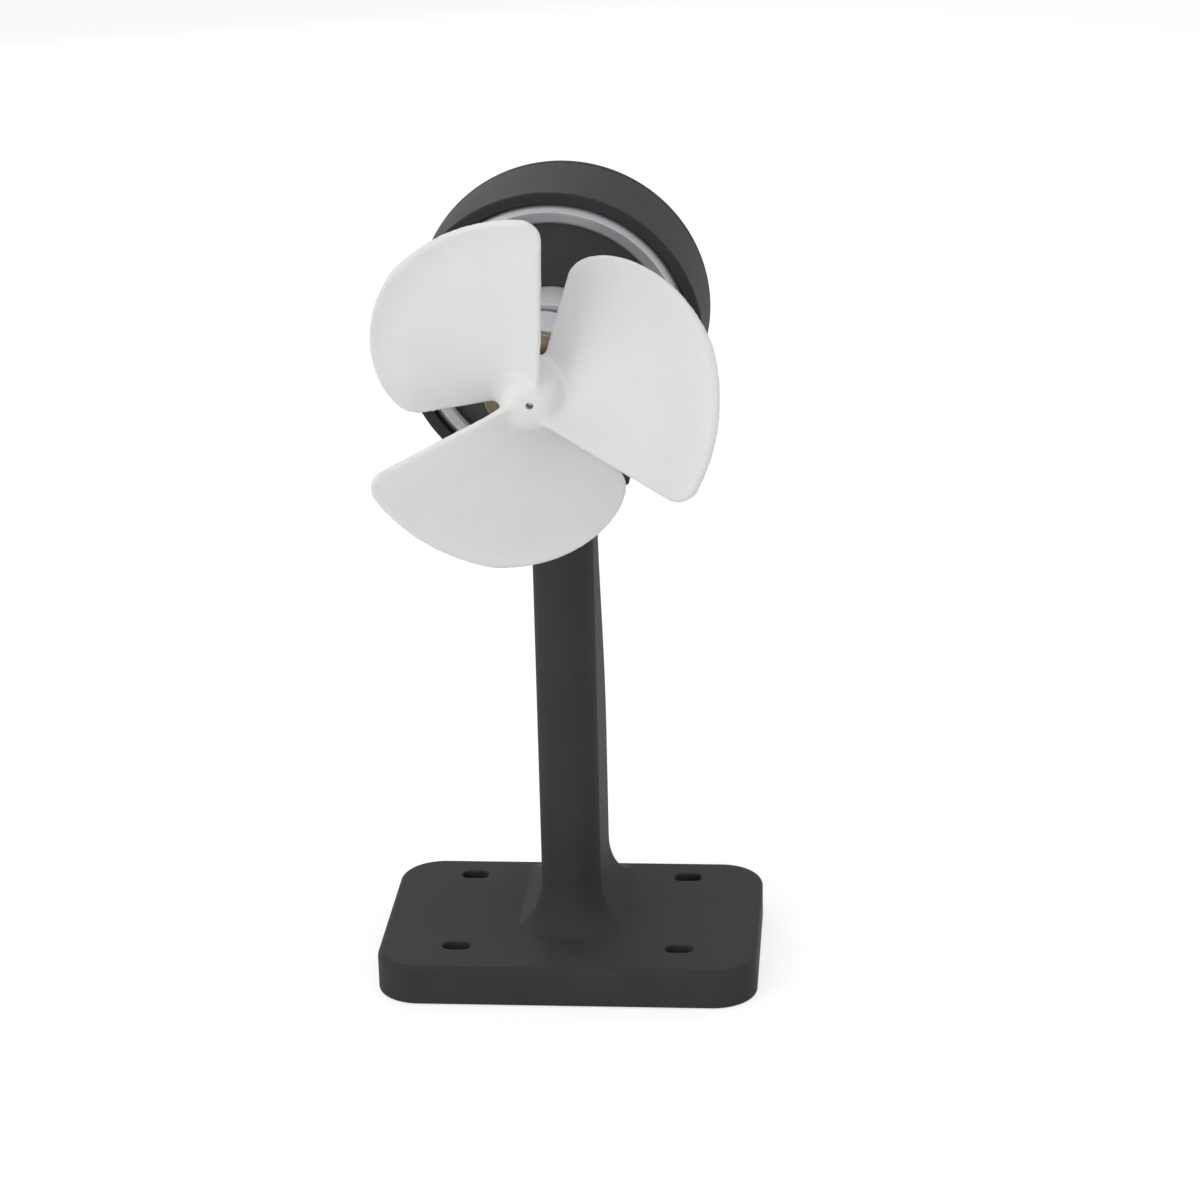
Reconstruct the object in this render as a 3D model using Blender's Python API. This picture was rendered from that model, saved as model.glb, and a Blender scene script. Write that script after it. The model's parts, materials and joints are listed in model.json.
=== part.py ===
"""Small wind turbine: a three-leaf propeller drives a ring-shaped generator on a cast pedestal.

Metres, +Z up.  The origin is the centre of the base plate's underside, and the shaft runs
level along Y, with the propeller at -Y.  Every place along the shaft is a y value.
"""
import math

import bmesh
import bpy
from mathutils import Matrix, Vector

# ---------------------------------------------------------------- driving dimensions
CLEARANCE = 0.0003          # gap left between pieces that touch
MERGE = 0.000001            # doubles nearer than this are one vertex
CUT_PAST = 0.0010           # a cutter reaches this far past the face it leaves by

SHAFT_HEIGHT = 0.202        # shaft line above the underside of the base

# pedestal: plate, column and saddle in one casting
BASE_WIDTH = 0.1155
BASE_DEPTH = 0.0785
BASE_CENTRE_Y = -0.0022      # the plate reaches further forward than back
BASE_THICKNESS = 0.0122
BASE_CORNER = 0.0135
BASE_EDGE = 0.0018
SLOT_INSET_X = 0.02385      # centre of a slot to the plate's side
SLOT_INSET_FRONT = 0.01575  # centre of a front slot to the plate's front
SLOT_INSET_REAR = 0.01135   # centre of a rear slot to the plate's back
SLOT_LENGTH = 0.0085
SLOT_WIDTH = 0.0052
COLUMN_WIDTH = 0.0183
COLUMN_SETBACK = 0.0113     # housing's front to the foremost line of the column
COLUMN_TOP_DEPTH = 0.0240
COLUMN_NOSE_ANGLE = math.radians(72)
COLUMN_REAR_CORNER = 0.0030
FOOT_FILLET = 0.0080        # how far the foot flares over the plate
FOOT_FILLET_RISE = 0.0150
FOOT_MARGIN = 0.0020        # flat of the plate left behind the foot
RIB_SWELL_SHARE = 0.70      # of the column's height, over which the rib grows to its full depth
NECK_FILLET = 0.0045
SADDLE_THICKNESS = 0.0050
SADDLE_HALF_ANGLE = math.radians(26)
SADDLE_MARGIN = 0.0050      # the housing reaches this far past the saddle at each end
SADDLE_EDGE = 0.0008

# ring-shaped housing
HOUSING_RADIUS = 0.0434
HOUSING_FRONT_Y = -0.0250
HOUSING_EDGE = 0.0008
HOUSING_RIM = 0.0032        # wall round the mouth
MOUTH_STEP = 0.0020         # from the mouth in to the stator's bore
SHOULDER_STEP = 0.0037      # from the stator's bore in to the cover's seat
SHOULDER_LENGTH = 0.0089    # wall behind the stator

# silver bezel and dark front plate in the mouth
BEZEL_RECESS = 0.0004
BEZEL_THICKNESS = 0.0028
BEZEL_WIDTH = 0.0055
BEZEL_SLOPE = 0.0013        # how far the sloping outer edge falls back
BEZEL_SLOPE_WIDTH = 0.0022
PLATE_THICKNESS = 0.0030

# bearing nose
SPIGOT_WALL = 0.0016        # round the front bearing
SLEEVE_WALL = 0.0023
SLEEVE_EDGE = 0.0004
NOSE_BARREL_LENGTH = 0.0191
NOSE_SPIGOT_LENGTH = 0.0262
NOSE_FLANGE_THICKNESS = 0.0040
GROOVE_DEPTH = 0.0009
GROOVE_RING_WIDTH = 0.0066
CAP_STEP = 0.0005           # the cap is this much smaller than the sleeve
CAP_THICKNESS = 0.0030
CAP_LIP = 0.0008

# shaft and its ball bearings
SHAFT_RADIUS = 0.0040
SHAFT_TIP_RADIUS = 0.0015
SHAFT_TIP_EDGE = 0.0003
BEARING_OUTER_RADIUS = 0.0110
BEARING_WIDTH = 0.0070
BEARING_RACE = 0.0013       # thickness of each ring at the ball track
BALL_COUNT = 7
CAGE_HALF_WIDTH = 0.0008
CAGE_HALF_THICKNESS = 0.0005
RETAINING_RING_THICKNESS = 0.0010
RETAINING_RING_HEIGHT = 0.0013
RETAINING_RING_TURN = math.radians(320)
RETAINING_RING_GAP = 0.0004 # between the retaining ring and the nose

# rear cover
COVER_THICKNESS = 0.0030
COVER_SPIGOT_DEPTH = 0.0050
COVER_SPIGOT_WALL = 0.0018
COVER_BOSS_WALL = 0.0024
GROMMET_NECK_RADIUS = 0.0045
GROMMET_BORE_RADIUS = 0.0033
GROMMET_LIP = 0.0008
GROMMET_LIP_THICKNESS = 0.0012

# generator
STATOR_LENGTH = 0.0100
STATOR_SPACE = 0.0092       # between the nose's flange and the stator
STATOR_YOKE = 0.0055
TOOTH_COUNT = 9
TOOTH_WIDTH = 0.0060
TOOTH_SHOE_WIDTH = 0.0082
TOOTH_SHOE_HEIGHT = 0.0016
AIR_GAP = 0.0008
ROTOR_CORE_WALL = 0.0067
MAGNET_COUNT = 8
MAGNET_THICKNESS = 0.0025
MAGNET_SPACING = math.radians(5)
COIL_THICKNESS = 0.0022
COIL_END_GAP = 0.0012       # between a coil and the shoe or the yoke
COIL_CORNER = 0.0015

# propeller, one moulding
PROPELLER_RADIUS = 0.0500
BLADE_COUNT = 3
HUB_LENGTH = 0.0155
HUB_REAR_WALL = 0.0067      # plastic round the insert, at the back
HUB_SHOULDER_WALL = 0.0051  # plastic round the insert, where the rounded front ends
HUB_ROUNDING = 0.0070       # how far the rounded front comes in, and how deep it is
HUB_ROUNDING_DEPTH = 0.0065
HUB_FRONT_WALL = 0.0030
HUB_EYE_RADIUS = 0.00105
HUB_RUNNING_GAP = 0.0028    # shaft shown between the nose cap and the hub
INSERT_WALL = 0.0018
BLADE_SETBACK = 0.0010      # leading edges start this far behind the hub's front
BLADE_INSET = 0.0016        # a blade starts this far outside the insert
BLADE_PITCH = 0.0112        # axial travel per radian
BLADE_ROOT_MARGIN = 0.0011  # from a blade's root to the hub's back face
BLADE_TIP_DEPTH = 0.0225
BLADE_DEPTH_BLEND = 0.0040  # how softly the pitch gives way to the greatest depth
BLADE_THICKNESS = 0.0018
LEADING_ANGLE = math.radians(-32)
LEADING_OFFSET = 0.0028
LEADING_ROUND = 0.0050
TRAILING_ANGLE_FULL = math.radians(73)
TRAILING_ANGLE_TIP = math.radians(22)
TRAILING_START_SHARE = 0.65 # of the propeller's radius, where the trailing edge curves in
TRAILING_POWER = 2.0        # how late the trailing edge curves in

# fasteners: shank radius, head radius, head height
COVER_SCREW = (0.0015, 0.0028, 0.0017)
SADDLE_SCREW = (0.0015, 0.0028, 0.0017)
PLATE_SCREW = (0.00125, 0.0023, 0.0015)
COVER_SCREW_COUNT = 4
PLATE_SCREW_COUNT = 3
PLATE_SCREW_TURN = math.radians(30)
PLATE_SCREW_OFFSET = 0.0045 # outside the nose's barrel
FLANGE_MARGIN = 0.0040      # the nose's flange reaches this far past its screws
SADDLE_SCREW_ANGLE = math.radians(19)
COVER_SCREW_REACH = 0.0060  # length inside the housing's shoulder
SADDLE_SCREW_REACH = 0.0034 # length inside the housing's wall
SPOT_FACE_DEPTH = 0.0006
SOCKET_SHARE = 0.45         # of a head's radius
SOCKET_FLOOR_SHARE = 0.45   # of a head's height
HEAD_FLAT_SHARE = 0.8       # of a head's radius, flat on top
HEAD_RIM_SHARE = 0.6        # of a head's height, at its rim
SHANK_CHAMFER_SHARE = 0.3   # of a shank's radius

LARGE_STEPS = 56
MEDIUM_STEPS = 36
SMALL_STEPS = 24
SCREW_STEPS = 12
NOSE_STEPS = 5              # each side of the column's rounded front
CORNER_STEPS = 3
RIB_STEPS = 8
SADDLE_STEPS = 10
MAGNET_STEPS = 5
YOKE_STEPS = 4              # between two teeth
HUB_ROUND_STEPS = 5
BLADE_STEPS_ALONG = 12
BLADE_STEPS_OUT = 9

# ---------------------------------------------------------------- radii that follow
MOUTH_RADIUS = HOUSING_RADIUS - HOUSING_RIM
BORE_RADIUS = MOUTH_RADIUS - MOUTH_STEP
SHOULDER_RADIUS = BORE_RADIUS - SHOULDER_STEP
BEZEL_OUTER_RADIUS = MOUTH_RADIUS - CLEARANCE
BEZEL_INNER_RADIUS = BEZEL_OUTER_RADIUS - BEZEL_WIDTH
BEARING_BORE_RADIUS = BEARING_OUTER_RADIUS + CLEARANCE
SPIGOT_RADIUS = BEARING_BORE_RADIUS + SPIGOT_WALL
SPIGOT_FIT_RADIUS = SPIGOT_RADIUS + CLEARANCE
NOSE_RADIUS = SPIGOT_FIT_RADIUS + SLEEVE_WALL
CAP_RADIUS = NOSE_RADIUS - CAP_STEP
PLATE_SCREW_RING = NOSE_RADIUS + PLATE_SCREW_OFFSET
NOSE_FLANGE_RADIUS = PLATE_SCREW_RING + FLANGE_MARGIN
ON_SHAFT_RADIUS = SHAFT_RADIUS + CLEARANCE
RETAINING_RING_RADIUS = ON_SHAFT_RADIUS + RETAINING_RING_HEIGHT
NOSE_TUNNEL_RADIUS = RETAINING_RING_RADIUS + RETAINING_RING_GAP
ROTOR_CORE_RADIUS = ON_SHAFT_RADIUS + ROTOR_CORE_WALL
MAGNET_INNER_RADIUS = ROTOR_CORE_RADIUS + CLEARANCE
MAGNET_OUTER_RADIUS = MAGNET_INNER_RADIUS + MAGNET_THICKNESS
STATOR_INNER_RADIUS = MAGNET_OUTER_RADIUS + AIR_GAP
STATOR_OUTER_RADIUS = BORE_RADIUS - CLEARANCE
YOKE_INNER_RADIUS = STATOR_OUTER_RADIUS - STATOR_YOKE
COVER_SPIGOT_RADIUS = SHOULDER_RADIUS - CLEARANCE
COVER_SPIGOT_INNER_RADIUS = COVER_SPIGOT_RADIUS - COVER_SPIGOT_WALL
COVER_BOSS_RADIUS = BEARING_BORE_RADIUS + COVER_BOSS_WALL
COVER_SCREW_RING = (SHOULDER_RADIUS + HOUSING_RADIUS) / 2
GROMMET_DROP = (COVER_BOSS_RADIUS + COVER_SPIGOT_INNER_RADIUS) / 2
INSERT_RADIUS = SHAFT_TIP_RADIUS + CLEARANCE + INSERT_WALL
ON_INSERT_RADIUS = INSERT_RADIUS + CLEARANCE
HUB_REAR_RADIUS = ON_INSERT_RADIUS + HUB_REAR_WALL
HUB_SHOULDER_RADIUS = ON_INSERT_RADIUS + HUB_SHOULDER_WALL
BLADE_ROOT_RADIUS = ON_INSERT_RADIUS + BLADE_INSET

# ---------------------------------------------------------------- places along the shaft
BEZEL_FRONT_Y = HOUSING_FRONT_Y + BEZEL_RECESS
BEZEL_BACK_Y = BEZEL_FRONT_Y + BEZEL_THICKNESS
PLATE_FRONT_Y = BEZEL_BACK_Y + CLEARANCE
PLATE_BACK_Y = PLATE_FRONT_Y + PLATE_THICKNESS
MOUTH_FLOOR_Y = PLATE_BACK_Y + CLEARANCE
FLANGE_BACK_Y = MOUTH_FLOOR_Y + NOSE_FLANGE_THICKNESS
STATOR_FRONT_Y = FLANGE_BACK_Y + STATOR_SPACE
STATOR_BACK_Y = STATOR_FRONT_Y + STATOR_LENGTH
STATOR_CENTRE_Y = (STATOR_FRONT_Y + STATOR_BACK_Y) / 2
SHOULDER_FRONT_Y = STATOR_BACK_Y + CLEARANCE
HOUSING_BACK_Y = SHOULDER_FRONT_Y + SHOULDER_LENGTH
COVER_FRONT_Y = HOUSING_BACK_Y + CLEARANCE
COVER_BACK_Y = COVER_FRONT_Y + COVER_THICKNESS
REAR_BEARING_Y = COVER_FRONT_Y - CLEARANCE - BEARING_WIDTH
BARREL_FRONT_Y = PLATE_FRONT_Y - NOSE_BARREL_LENGTH
GROOVE_BACK_Y = BARREL_FRONT_Y - CLEARANCE
GROOVE_FRONT_Y = GROOVE_BACK_Y - GROOVE_RING_WIDTH
SPIGOT_FRONT_Y = BARREL_FRONT_Y - NOSE_SPIGOT_LENGTH
CAP_BACK_Y = SPIGOT_FRONT_Y - CLEARANCE
CAP_FRONT_Y = CAP_BACK_Y - CAP_THICKNESS
FRONT_BEARING_Y = CAP_BACK_Y + CAP_LIP + CLEARANCE
RETAINING_RING_Y = FRONT_BEARING_Y + BEARING_WIDTH + CLEARANCE
HUB_BACK_Y = CAP_FRONT_Y - HUB_RUNNING_GAP - CLEARANCE
HUB_FRONT_Y = HUB_BACK_Y - HUB_LENGTH
INSERT_FRONT_Y = HUB_FRONT_Y + HUB_FRONT_WALL + CLEARANCE
SADDLE_CENTRE_Y = (HOUSING_FRONT_Y + HOUSING_BACK_Y) / 2
SADDLE_LENGTH = HOUSING_BACK_Y - HOUSING_FRONT_Y - 2 * SADDLE_MARGIN
COLUMN_FRONT_Y = HOUSING_FRONT_Y + COLUMN_SETBACK
COLUMN_REAR_TOP_Y = COLUMN_FRONT_Y + COLUMN_TOP_DEPTH
BASE_FRONT_Y = BASE_CENTRE_Y - BASE_DEPTH / 2
BASE_BACK_Y = BASE_CENTRE_Y + BASE_DEPTH / 2
COLUMN_REAR_FOOT_Y = BASE_BACK_Y - FOOT_MARGIN - FOOT_FILLET


# ---------------------------------------------------------------- tools
def linear(channel):
    """One sRGB channel, 0 to 255, as linear light."""
    value = channel / 255
    return value / 12.92 if value <= 0.04045 else ((value + 0.055) / 1.055) ** 2.4


def material(name, red, green, blue, roughness, metallic=0.0):
    """A Principled material from an sRGB colour."""
    finish = bpy.data.materials.new(name)
    finish.use_nodes = True
    shader = finish.node_tree.nodes["Principled BSDF"]
    shader.inputs["Base Color"].default_value = (linear(red), linear(green), linear(blue), 1)
    shader.inputs["Roughness"].default_value = roughness
    shader.inputs["Metallic"].default_value = metallic
    return finish


def finish_object(name, mesh, finish, parent=None):
    """Turn a bmesh into a named object with its material, its round parts shaded smooth."""
    data = bpy.data.meshes.new(name)
    mesh.to_mesh(data)
    mesh.free()
    data.shade_smooth()
    data.set_sharp_from_angle(angle=math.radians(35))
    data.materials.append(finish)
    piece = bpy.data.objects.new(name, data)
    bpy.context.collection.objects.link(piece)
    piece.parent = parent
    return piece


def hide_as_cutter(piece):
    """Keep a shape that only cuts or adds to another one out of the model."""
    piece.hide_render = True
    piece.display_type = "WIRE"


def combine(piece, other, operation):
    """Cut `other` from `piece`, or add it, with an exact Boolean."""
    hide_as_cutter(other)
    modifier = piece.modifiers.new(operation.lower() + "_" + other.name, "BOOLEAN")
    modifier.operation = operation
    modifier.object = other
    modifier.solver = "EXACT"


def spin_section(mesh, section, steps, angle=math.tau, start=0.0):
    """Spin a closed section of (radius, y) points about the Y axis, in a given bmesh."""
    points = [mesh.verts.new((radius, y, 0)) for radius, y in section]
    full_turn = angle >= math.tau
    if full_turn:
        pairs = zip(points, points[1:] + points[:1])
        outline = [mesh.edges.new(pair) for pair in pairs if any(v.co.x > 0 for v in pair)]
    else:
        outline = [mesh.faces.new(points)]
        bmesh.ops.rotate(mesh, verts=points, matrix=Matrix.Rotation(start, 3, "Y"))
    bmesh.ops.spin(mesh, geom=points + outline, cent=(0, 0, 0), axis=(0, 1, 0),
                   angle=angle, steps=steps, use_merge=full_turn)
    bmesh.ops.remove_doubles(mesh, verts=mesh.verts, dist=MERGE)
    bmesh.ops.recalc_face_normals(mesh, faces=mesh.faces)


def turned(name, section, finish, steps=LARGE_STEPS, parent=None, height=SHAFT_HEIGHT):
    """A round piece on the shaft line, spun from its closed section."""
    mesh = bmesh.new()
    spin_section(mesh, section, steps)
    piece = finish_object(name, mesh, finish, parent)
    piece.location.z = 0 if parent else height
    return piece


def tube(inner, outer, front, back, edge=0.0):
    """The section of a plain tube, its outer edges chamfered by `edge`."""
    if not edge:
        return [(inner, front), (outer, front), (outer, back), (inner, back)]
    return [(inner, front), (outer - edge, front), (outer, front + edge),
            (outer, back - edge), (outer - edge, back), (inner, back)]


def add_cylinder(mesh, radius, start, end, steps=SCREW_STEPS):
    """Add a solid cylinder between two points to a bmesh."""
    start, end = Vector(start), Vector(end)
    axis = end - start
    turn = axis.to_track_quat("Z", "Y").to_matrix().to_4x4()
    place = Matrix.Translation((start + end) / 2) @ turn
    bmesh.ops.create_cone(mesh, cap_ends=True, segments=steps, radius1=radius,
                          radius2=radius, depth=axis.length, matrix=place)


def add_shape(mesh, shape, place):
    """Move one bmesh by the matrix `place` into another, and free it."""
    scratch = bpy.data.meshes.new("scratch")
    shape.to_mesh(scratch)
    shape.free()
    scratch.transform(place)
    mesh.from_mesh(scratch)
    bpy.data.meshes.remove(scratch)


def around_shaft(radius, angle, y):
    """A point at `angle` from +X round the shaft line, measured on the shaft line's own frame."""
    return Vector((radius * math.cos(angle), y, radius * math.sin(angle)))


def screw(name, size, length, finish, place, direction, parent=None):
    """A pan-head screw whose head rests at `place` and whose shank runs along `direction`."""
    shank, head, height = size
    socket, floor = head * SOCKET_SHARE, -height * SOCKET_FLOOR_SHARE
    chamfer = shank * SHANK_CHAMFER_SHARE
    section = [(0, floor), (socket, floor), (socket, -height),
               (head * HEAD_FLAT_SHARE, -height), (head, -height * HEAD_RIM_SHARE), (head, 0),
               (shank, 0), (shank, length - chamfer), (shank - chamfer, length), (0, length)]
    mesh = bmesh.new()
    spin_section(mesh, section, SCREW_STEPS)
    piece = finish_object(name, mesh, finish, parent)
    piece.rotation_mode = "QUATERNION"
    piece.rotation_quaternion = Vector((0, 1, 0)).rotation_difference(direction)
    piece.location = place
    return piece


# ---------------------------------------------------------------- clean scene, materials
for old in list(bpy.data.objects):
    bpy.data.objects.remove(old, do_unlink=True)

BLACK_COAT = material("black_powder_coat", 62, 61, 62, 0.5)
HOUSING_COAT = material("dark_grey_coat", 80, 80, 82, 0.5)
PLATE_BLACK = material("black_front_plate", 56, 56, 58, 0.45)
BRIGHT_RING = material("bright_aluminium", 176, 176, 178, 0.3, 1.0)
NOSE_GREY = material("turned_aluminium", 165, 165, 166, 0.4, 1.0)
SLEEVE_WHITE = material("bluish_white_sleeve", 186, 188, 196, 0.4)
BRASS = material("dull_brass", 150, 136, 112, 0.45, 1.0)
WHITE_NYLON = material("white_nylon", 222, 223, 222, 0.4)
STEEL = material("bright_steel", 178, 180, 184, 0.3, 1.0)
DARK_STEEL = material("blackened_steel", 60, 60, 63, 0.45, 1.0)
LAMINATION = material("lamination_steel", 118, 120, 124, 0.5, 1.0)
COPPER = material("enamelled_copper", 176, 98, 58, 0.35, 1.0)
MAGNET_NICKEL = material("nickel_plated_magnet", 188, 186, 180, 0.3, 1.0)
RUBBER = material("black_rubber", 40, 40, 42, 0.7)

rotor_axis = bpy.data.objects.new("rotor_axis", None)
rotor_axis.location = (0, 0, SHAFT_HEIGHT)
rotor_axis.empty_display_size = 0.02
bpy.context.collection.objects.link(rotor_axis)


# ---------------------------------------------------------------- pedestal
def column_outline(z, flare, rear):
    """One level cut of the column: rounded nose, flat sides, small rear corners."""
    half = COLUMN_WIDTH / 2 + flare
    nose_radius = COLUMN_WIDTH / 2 / math.sin(COLUMN_NOSE_ANGLE)
    nose_y = COLUMN_FRONT_Y + nose_radius
    nose = nose_radius + flare
    points = []
    for step in range(-NOSE_STEPS, NOSE_STEPS + 1):
        angle = COLUMN_NOSE_ANGLE * step / NOSE_STEPS
        points.append((nose * math.sin(angle), nose_y - nose * math.cos(angle), z))
    points[0] = (-half, points[0][1], z)
    points[-1] = (half, points[-1][1], z)
    corner = COLUMN_REAR_CORNER
    for side in (1, -1):
        for step in range(CORNER_STEPS + 1):
            turned_by = step if side > 0 else CORNER_STEPS - step
            angle = math.pi / 2 * turned_by / CORNER_STEPS
            points.append((side * (half - corner + corner * math.cos(angle)),
                           rear + flare - corner + corner * math.sin(angle), z))
    return points


def rear_profile(z, low, high):
    """The back of the column: a rib that swells smoothly towards the plate."""
    share = (high - z) / (high - low) / RIB_SWELL_SHARE
    smooth = 0.5 - 0.5 * math.cos(math.pi * min(max(share, 0), 1))
    return COLUMN_REAR_TOP_Y + (COLUMN_REAR_FOOT_Y - COLUMN_REAR_TOP_Y) * smooth


def fillet_levels(width, rise, count=4, first=math.radians(10)):
    """(distance from the face, flare) pairs of a concave fillet, nearest the face first."""
    angles = [first + (math.pi / 2 - first) * step / count for step in range(count + 1)]
    return [(rise * (1 - math.cos(a)), width * (1 - math.sin(a))) for a in angles]


def build_column():
    """Loft the column from inside the plate to inside the housing's place."""
    foot_z = BASE_THICKNESS
    neck_z = SHAFT_HEIGHT - HOUSING_RADIUS - CLEARANCE - SADDLE_THICKNESS
    foot = fillet_levels(FOOT_FILLET, FOOT_FILLET_RISE)
    neck = fillet_levels(NECK_FILLET, NECK_FILLET)
    levels = [(foot_z - BASE_EDGE, foot[0][1])]
    levels += [(foot_z + rise, flare) for rise, flare in foot]
    low, high = foot_z + FOOT_FILLET_RISE, neck_z - NECK_FILLET
    levels += [(low + (high - low) * step / RIB_STEPS, 0.0) for step in range(1, RIB_STEPS)]
    levels += [(neck_z - drop, flare) for drop, flare in reversed(neck)]
    levels.append((SHAFT_HEIGHT - HOUSING_RADIUS + SADDLE_THICKNESS, neck[0][1]))
    mesh = bmesh.new()
    previous = None
    for z, flare in levels:
        outline = column_outline(z, flare, rear_profile(z, low, high))
        ring = [mesh.verts.new(point) for point in outline]
        if previous is None:
            mesh.faces.new(reversed(ring))
        else:
            for i in range(len(ring)):
                j = (i + 1) % len(ring)
                mesh.faces.new((previous[i], previous[j], ring[j], ring[i]))
        previous = ring
    mesh.faces.new(previous)
    bmesh.ops.recalc_face_normals(mesh, faces=mesh.faces)
    return finish_object("column_solid", mesh, BLACK_COAT)


def build_saddle():
    """The curved cradle on top of the column, before the housing's place is cut from it."""
    inner = HOUSING_RADIUS - SADDLE_THICKNESS / 2
    outer = HOUSING_RADIUS + CLEARANCE + SADDLE_THICKNESS
    front = SADDLE_CENTRE_Y - SADDLE_LENGTH / 2
    back = SADDLE_CENTRE_Y + SADDLE_LENGTH / 2
    mesh = bmesh.new()
    spin_section(mesh, tube(inner, outer, front, back), SADDLE_STEPS, 2 * SADDLE_HALF_ANGLE,
                 math.pi / 2 - SADDLE_HALF_ANGLE)
    saddle = finish_object("saddle_solid", mesh, BLACK_COAT)
    saddle.location.z = SHAFT_HEIGHT
    bevel = saddle.modifiers.new("edges", "BEVEL")
    bevel.width = SADDLE_EDGE
    bevel.segments = 1
    bevel.limit_method = "ANGLE"
    bevel.angle_limit = math.radians(50)
    return saddle


def saddle_screw_direction(side):
    """From a saddle screw's head towards the shaft line."""
    return Vector((-side * math.sin(SADDLE_SCREW_ANGLE), 0, math.cos(SADDLE_SCREW_ANGLE)))


def saddle_screw_seat(side):
    """Where the head of a saddle screw rests, at the floor of its spot face."""
    reach = HOUSING_RADIUS + CLEARANCE + SADDLE_THICKNESS - SPOT_FACE_DEPTH
    centre = Vector((0, SADDLE_CENTRE_Y, SHAFT_HEIGHT))
    return centre - saddle_screw_direction(side) * reach


def build_pedestal():
    """Base plate with its four slots, joined to the column and the saddle."""
    mesh = bmesh.new()
    size = (BASE_WIDTH, BASE_DEPTH, BASE_THICKNESS)
    bmesh.ops.create_cube(mesh, size=1, matrix=Matrix.Diagonal((*size, 1)))
    bmesh.ops.translate(mesh, verts=mesh.verts, vec=(0, BASE_CENTRE_Y, BASE_THICKNESS / 2))
    uprights = [e for e in mesh.edges if abs(e.verts[0].co.z - e.verts[1].co.z) > MERGE]
    bmesh.ops.bevel(mesh, geom=uprights, offset=BASE_CORNER, segments=6, profile=0.5,
                    affect="EDGES", material=-1)
    rim = [e for e in mesh.edges if all(v.co.z > BASE_THICKNESS - MERGE for v in e.verts)]
    bmesh.ops.bevel(mesh, geom=rim, offset=BASE_EDGE, segments=2, profile=0.5,
                    affect="EDGES", material=-1)
    pedestal = finish_object("pedestal", mesh, BLACK_COAT)

    cuts = bmesh.new()
    for side in (-1, 1):
        for slot_y in (BASE_FRONT_Y + SLOT_INSET_FRONT, BASE_BACK_Y - SLOT_INSET_REAR):
            straight = (SLOT_LENGTH - SLOT_WIDTH) / 2
            slot = bmesh.new()
            bmesh.ops.create_cone(slot, cap_ends=True, segments=16, radius1=SLOT_WIDTH / 2,
                                  radius2=SLOT_WIDTH / 2, depth=BASE_THICKNESS * 2)
            for vert in slot.verts:
                if abs(vert.co.x) > MERGE:
                    vert.co.x += math.copysign(straight, vert.co.x)
            add_shape(cuts, slot, Matrix.Translation((
                side * (BASE_WIDTH / 2 - SLOT_INSET_X), slot_y, BASE_THICKNESS / 2)))
    slots = finish_object("slot_cutter", cuts, BLACK_COAT)

    place_radius = HOUSING_RADIUS + CLEARANCE
    place_front = HOUSING_FRONT_Y - CUT_PAST
    place_back = max(COVER_BACK_Y, COLUMN_REAR_TOP_Y + NECK_FILLET) + CUT_PAST
    housing_place = turned("housing_place_cutter", [
        (0, place_front), (place_radius, place_front),
        (place_radius, place_back), (0, place_back)], BLACK_COAT)

    holes = bmesh.new()
    shank, head, _ = SADDLE_SCREW
    for side in (-1, 1):
        stepped = bmesh.new()
        spin_section(stepped, [
            (0, -SADDLE_THICKNESS), (head + 2 * CLEARANCE, -SADDLE_THICKNESS),
            (head + 2 * CLEARANCE, 0),
            (shank + CLEARANCE, 0), (shank + CLEARANCE, 2 * SADDLE_THICKNESS),
            (0, 2 * SADDLE_THICKNESS)], SCREW_STEPS)
        turn = Vector((0, 1, 0)).rotation_difference(saddle_screw_direction(side))
        place = Matrix.Translation(saddle_screw_seat(side)) @ turn.to_matrix().to_4x4()
        add_shape(holes, stepped, place)
    hole_cutter = finish_object("saddle_hole_cutter", holes, BLACK_COAT)

    combine(pedestal, slots, "DIFFERENCE")
    combine(pedestal, build_column(), "UNION")
    combine(pedestal, build_saddle(), "UNION")
    combine(pedestal, housing_place, "DIFFERENCE")
    combine(pedestal, hole_cutter, "DIFFERENCE")
    return pedestal


build_pedestal()

# ---------------------------------------------------------------- housing
housing = turned("ring_housing", [
    (MOUTH_RADIUS, HOUSING_FRONT_Y), (HOUSING_RADIUS - HOUSING_EDGE, HOUSING_FRONT_Y),
    (HOUSING_RADIUS, HOUSING_FRONT_Y + HOUSING_EDGE), (HOUSING_RADIUS, HOUSING_BACK_Y),
    (SHOULDER_RADIUS, HOUSING_BACK_Y), (SHOULDER_RADIUS, SHOULDER_FRONT_Y),
    (BORE_RADIUS, SHOULDER_FRONT_Y), (BORE_RADIUS, MOUTH_FLOOR_Y),
    (MOUTH_RADIUS, MOUTH_FLOOR_Y)], HOUSING_COAT)

cover_angles = [math.tau * (i + 0.5) / COVER_SCREW_COUNT for i in range(COVER_SCREW_COUNT)]
housing_holes = bmesh.new()
for angle in cover_angles:
    bottom = HOUSING_BACK_Y - COVER_SCREW_REACH - CLEARANCE
    add_cylinder(housing_holes, COVER_SCREW[0] + CLEARANCE,
                 around_shaft(COVER_SCREW_RING, angle, bottom),
                 around_shaft(COVER_SCREW_RING, angle, HOUSING_BACK_Y + CUT_PAST))
for side in (-1, 1):
    inward = saddle_screw_direction(side)
    shaft_point = Vector((0, SADDLE_CENTRE_Y, 0))
    add_cylinder(housing_holes, SADDLE_SCREW[0] + CLEARANCE,
                 shaft_point - inward * (HOUSING_RADIUS + CUT_PAST),
                 shaft_point - inward * (HOUSING_RADIUS - SADDLE_SCREW_REACH - CLEARANCE))
housing_cutter = finish_object("housing_hole_cutter", housing_holes, HOUSING_COAT)
housing_cutter.location.z = SHAFT_HEIGHT
combine(housing, housing_cutter, "DIFFERENCE")

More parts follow.
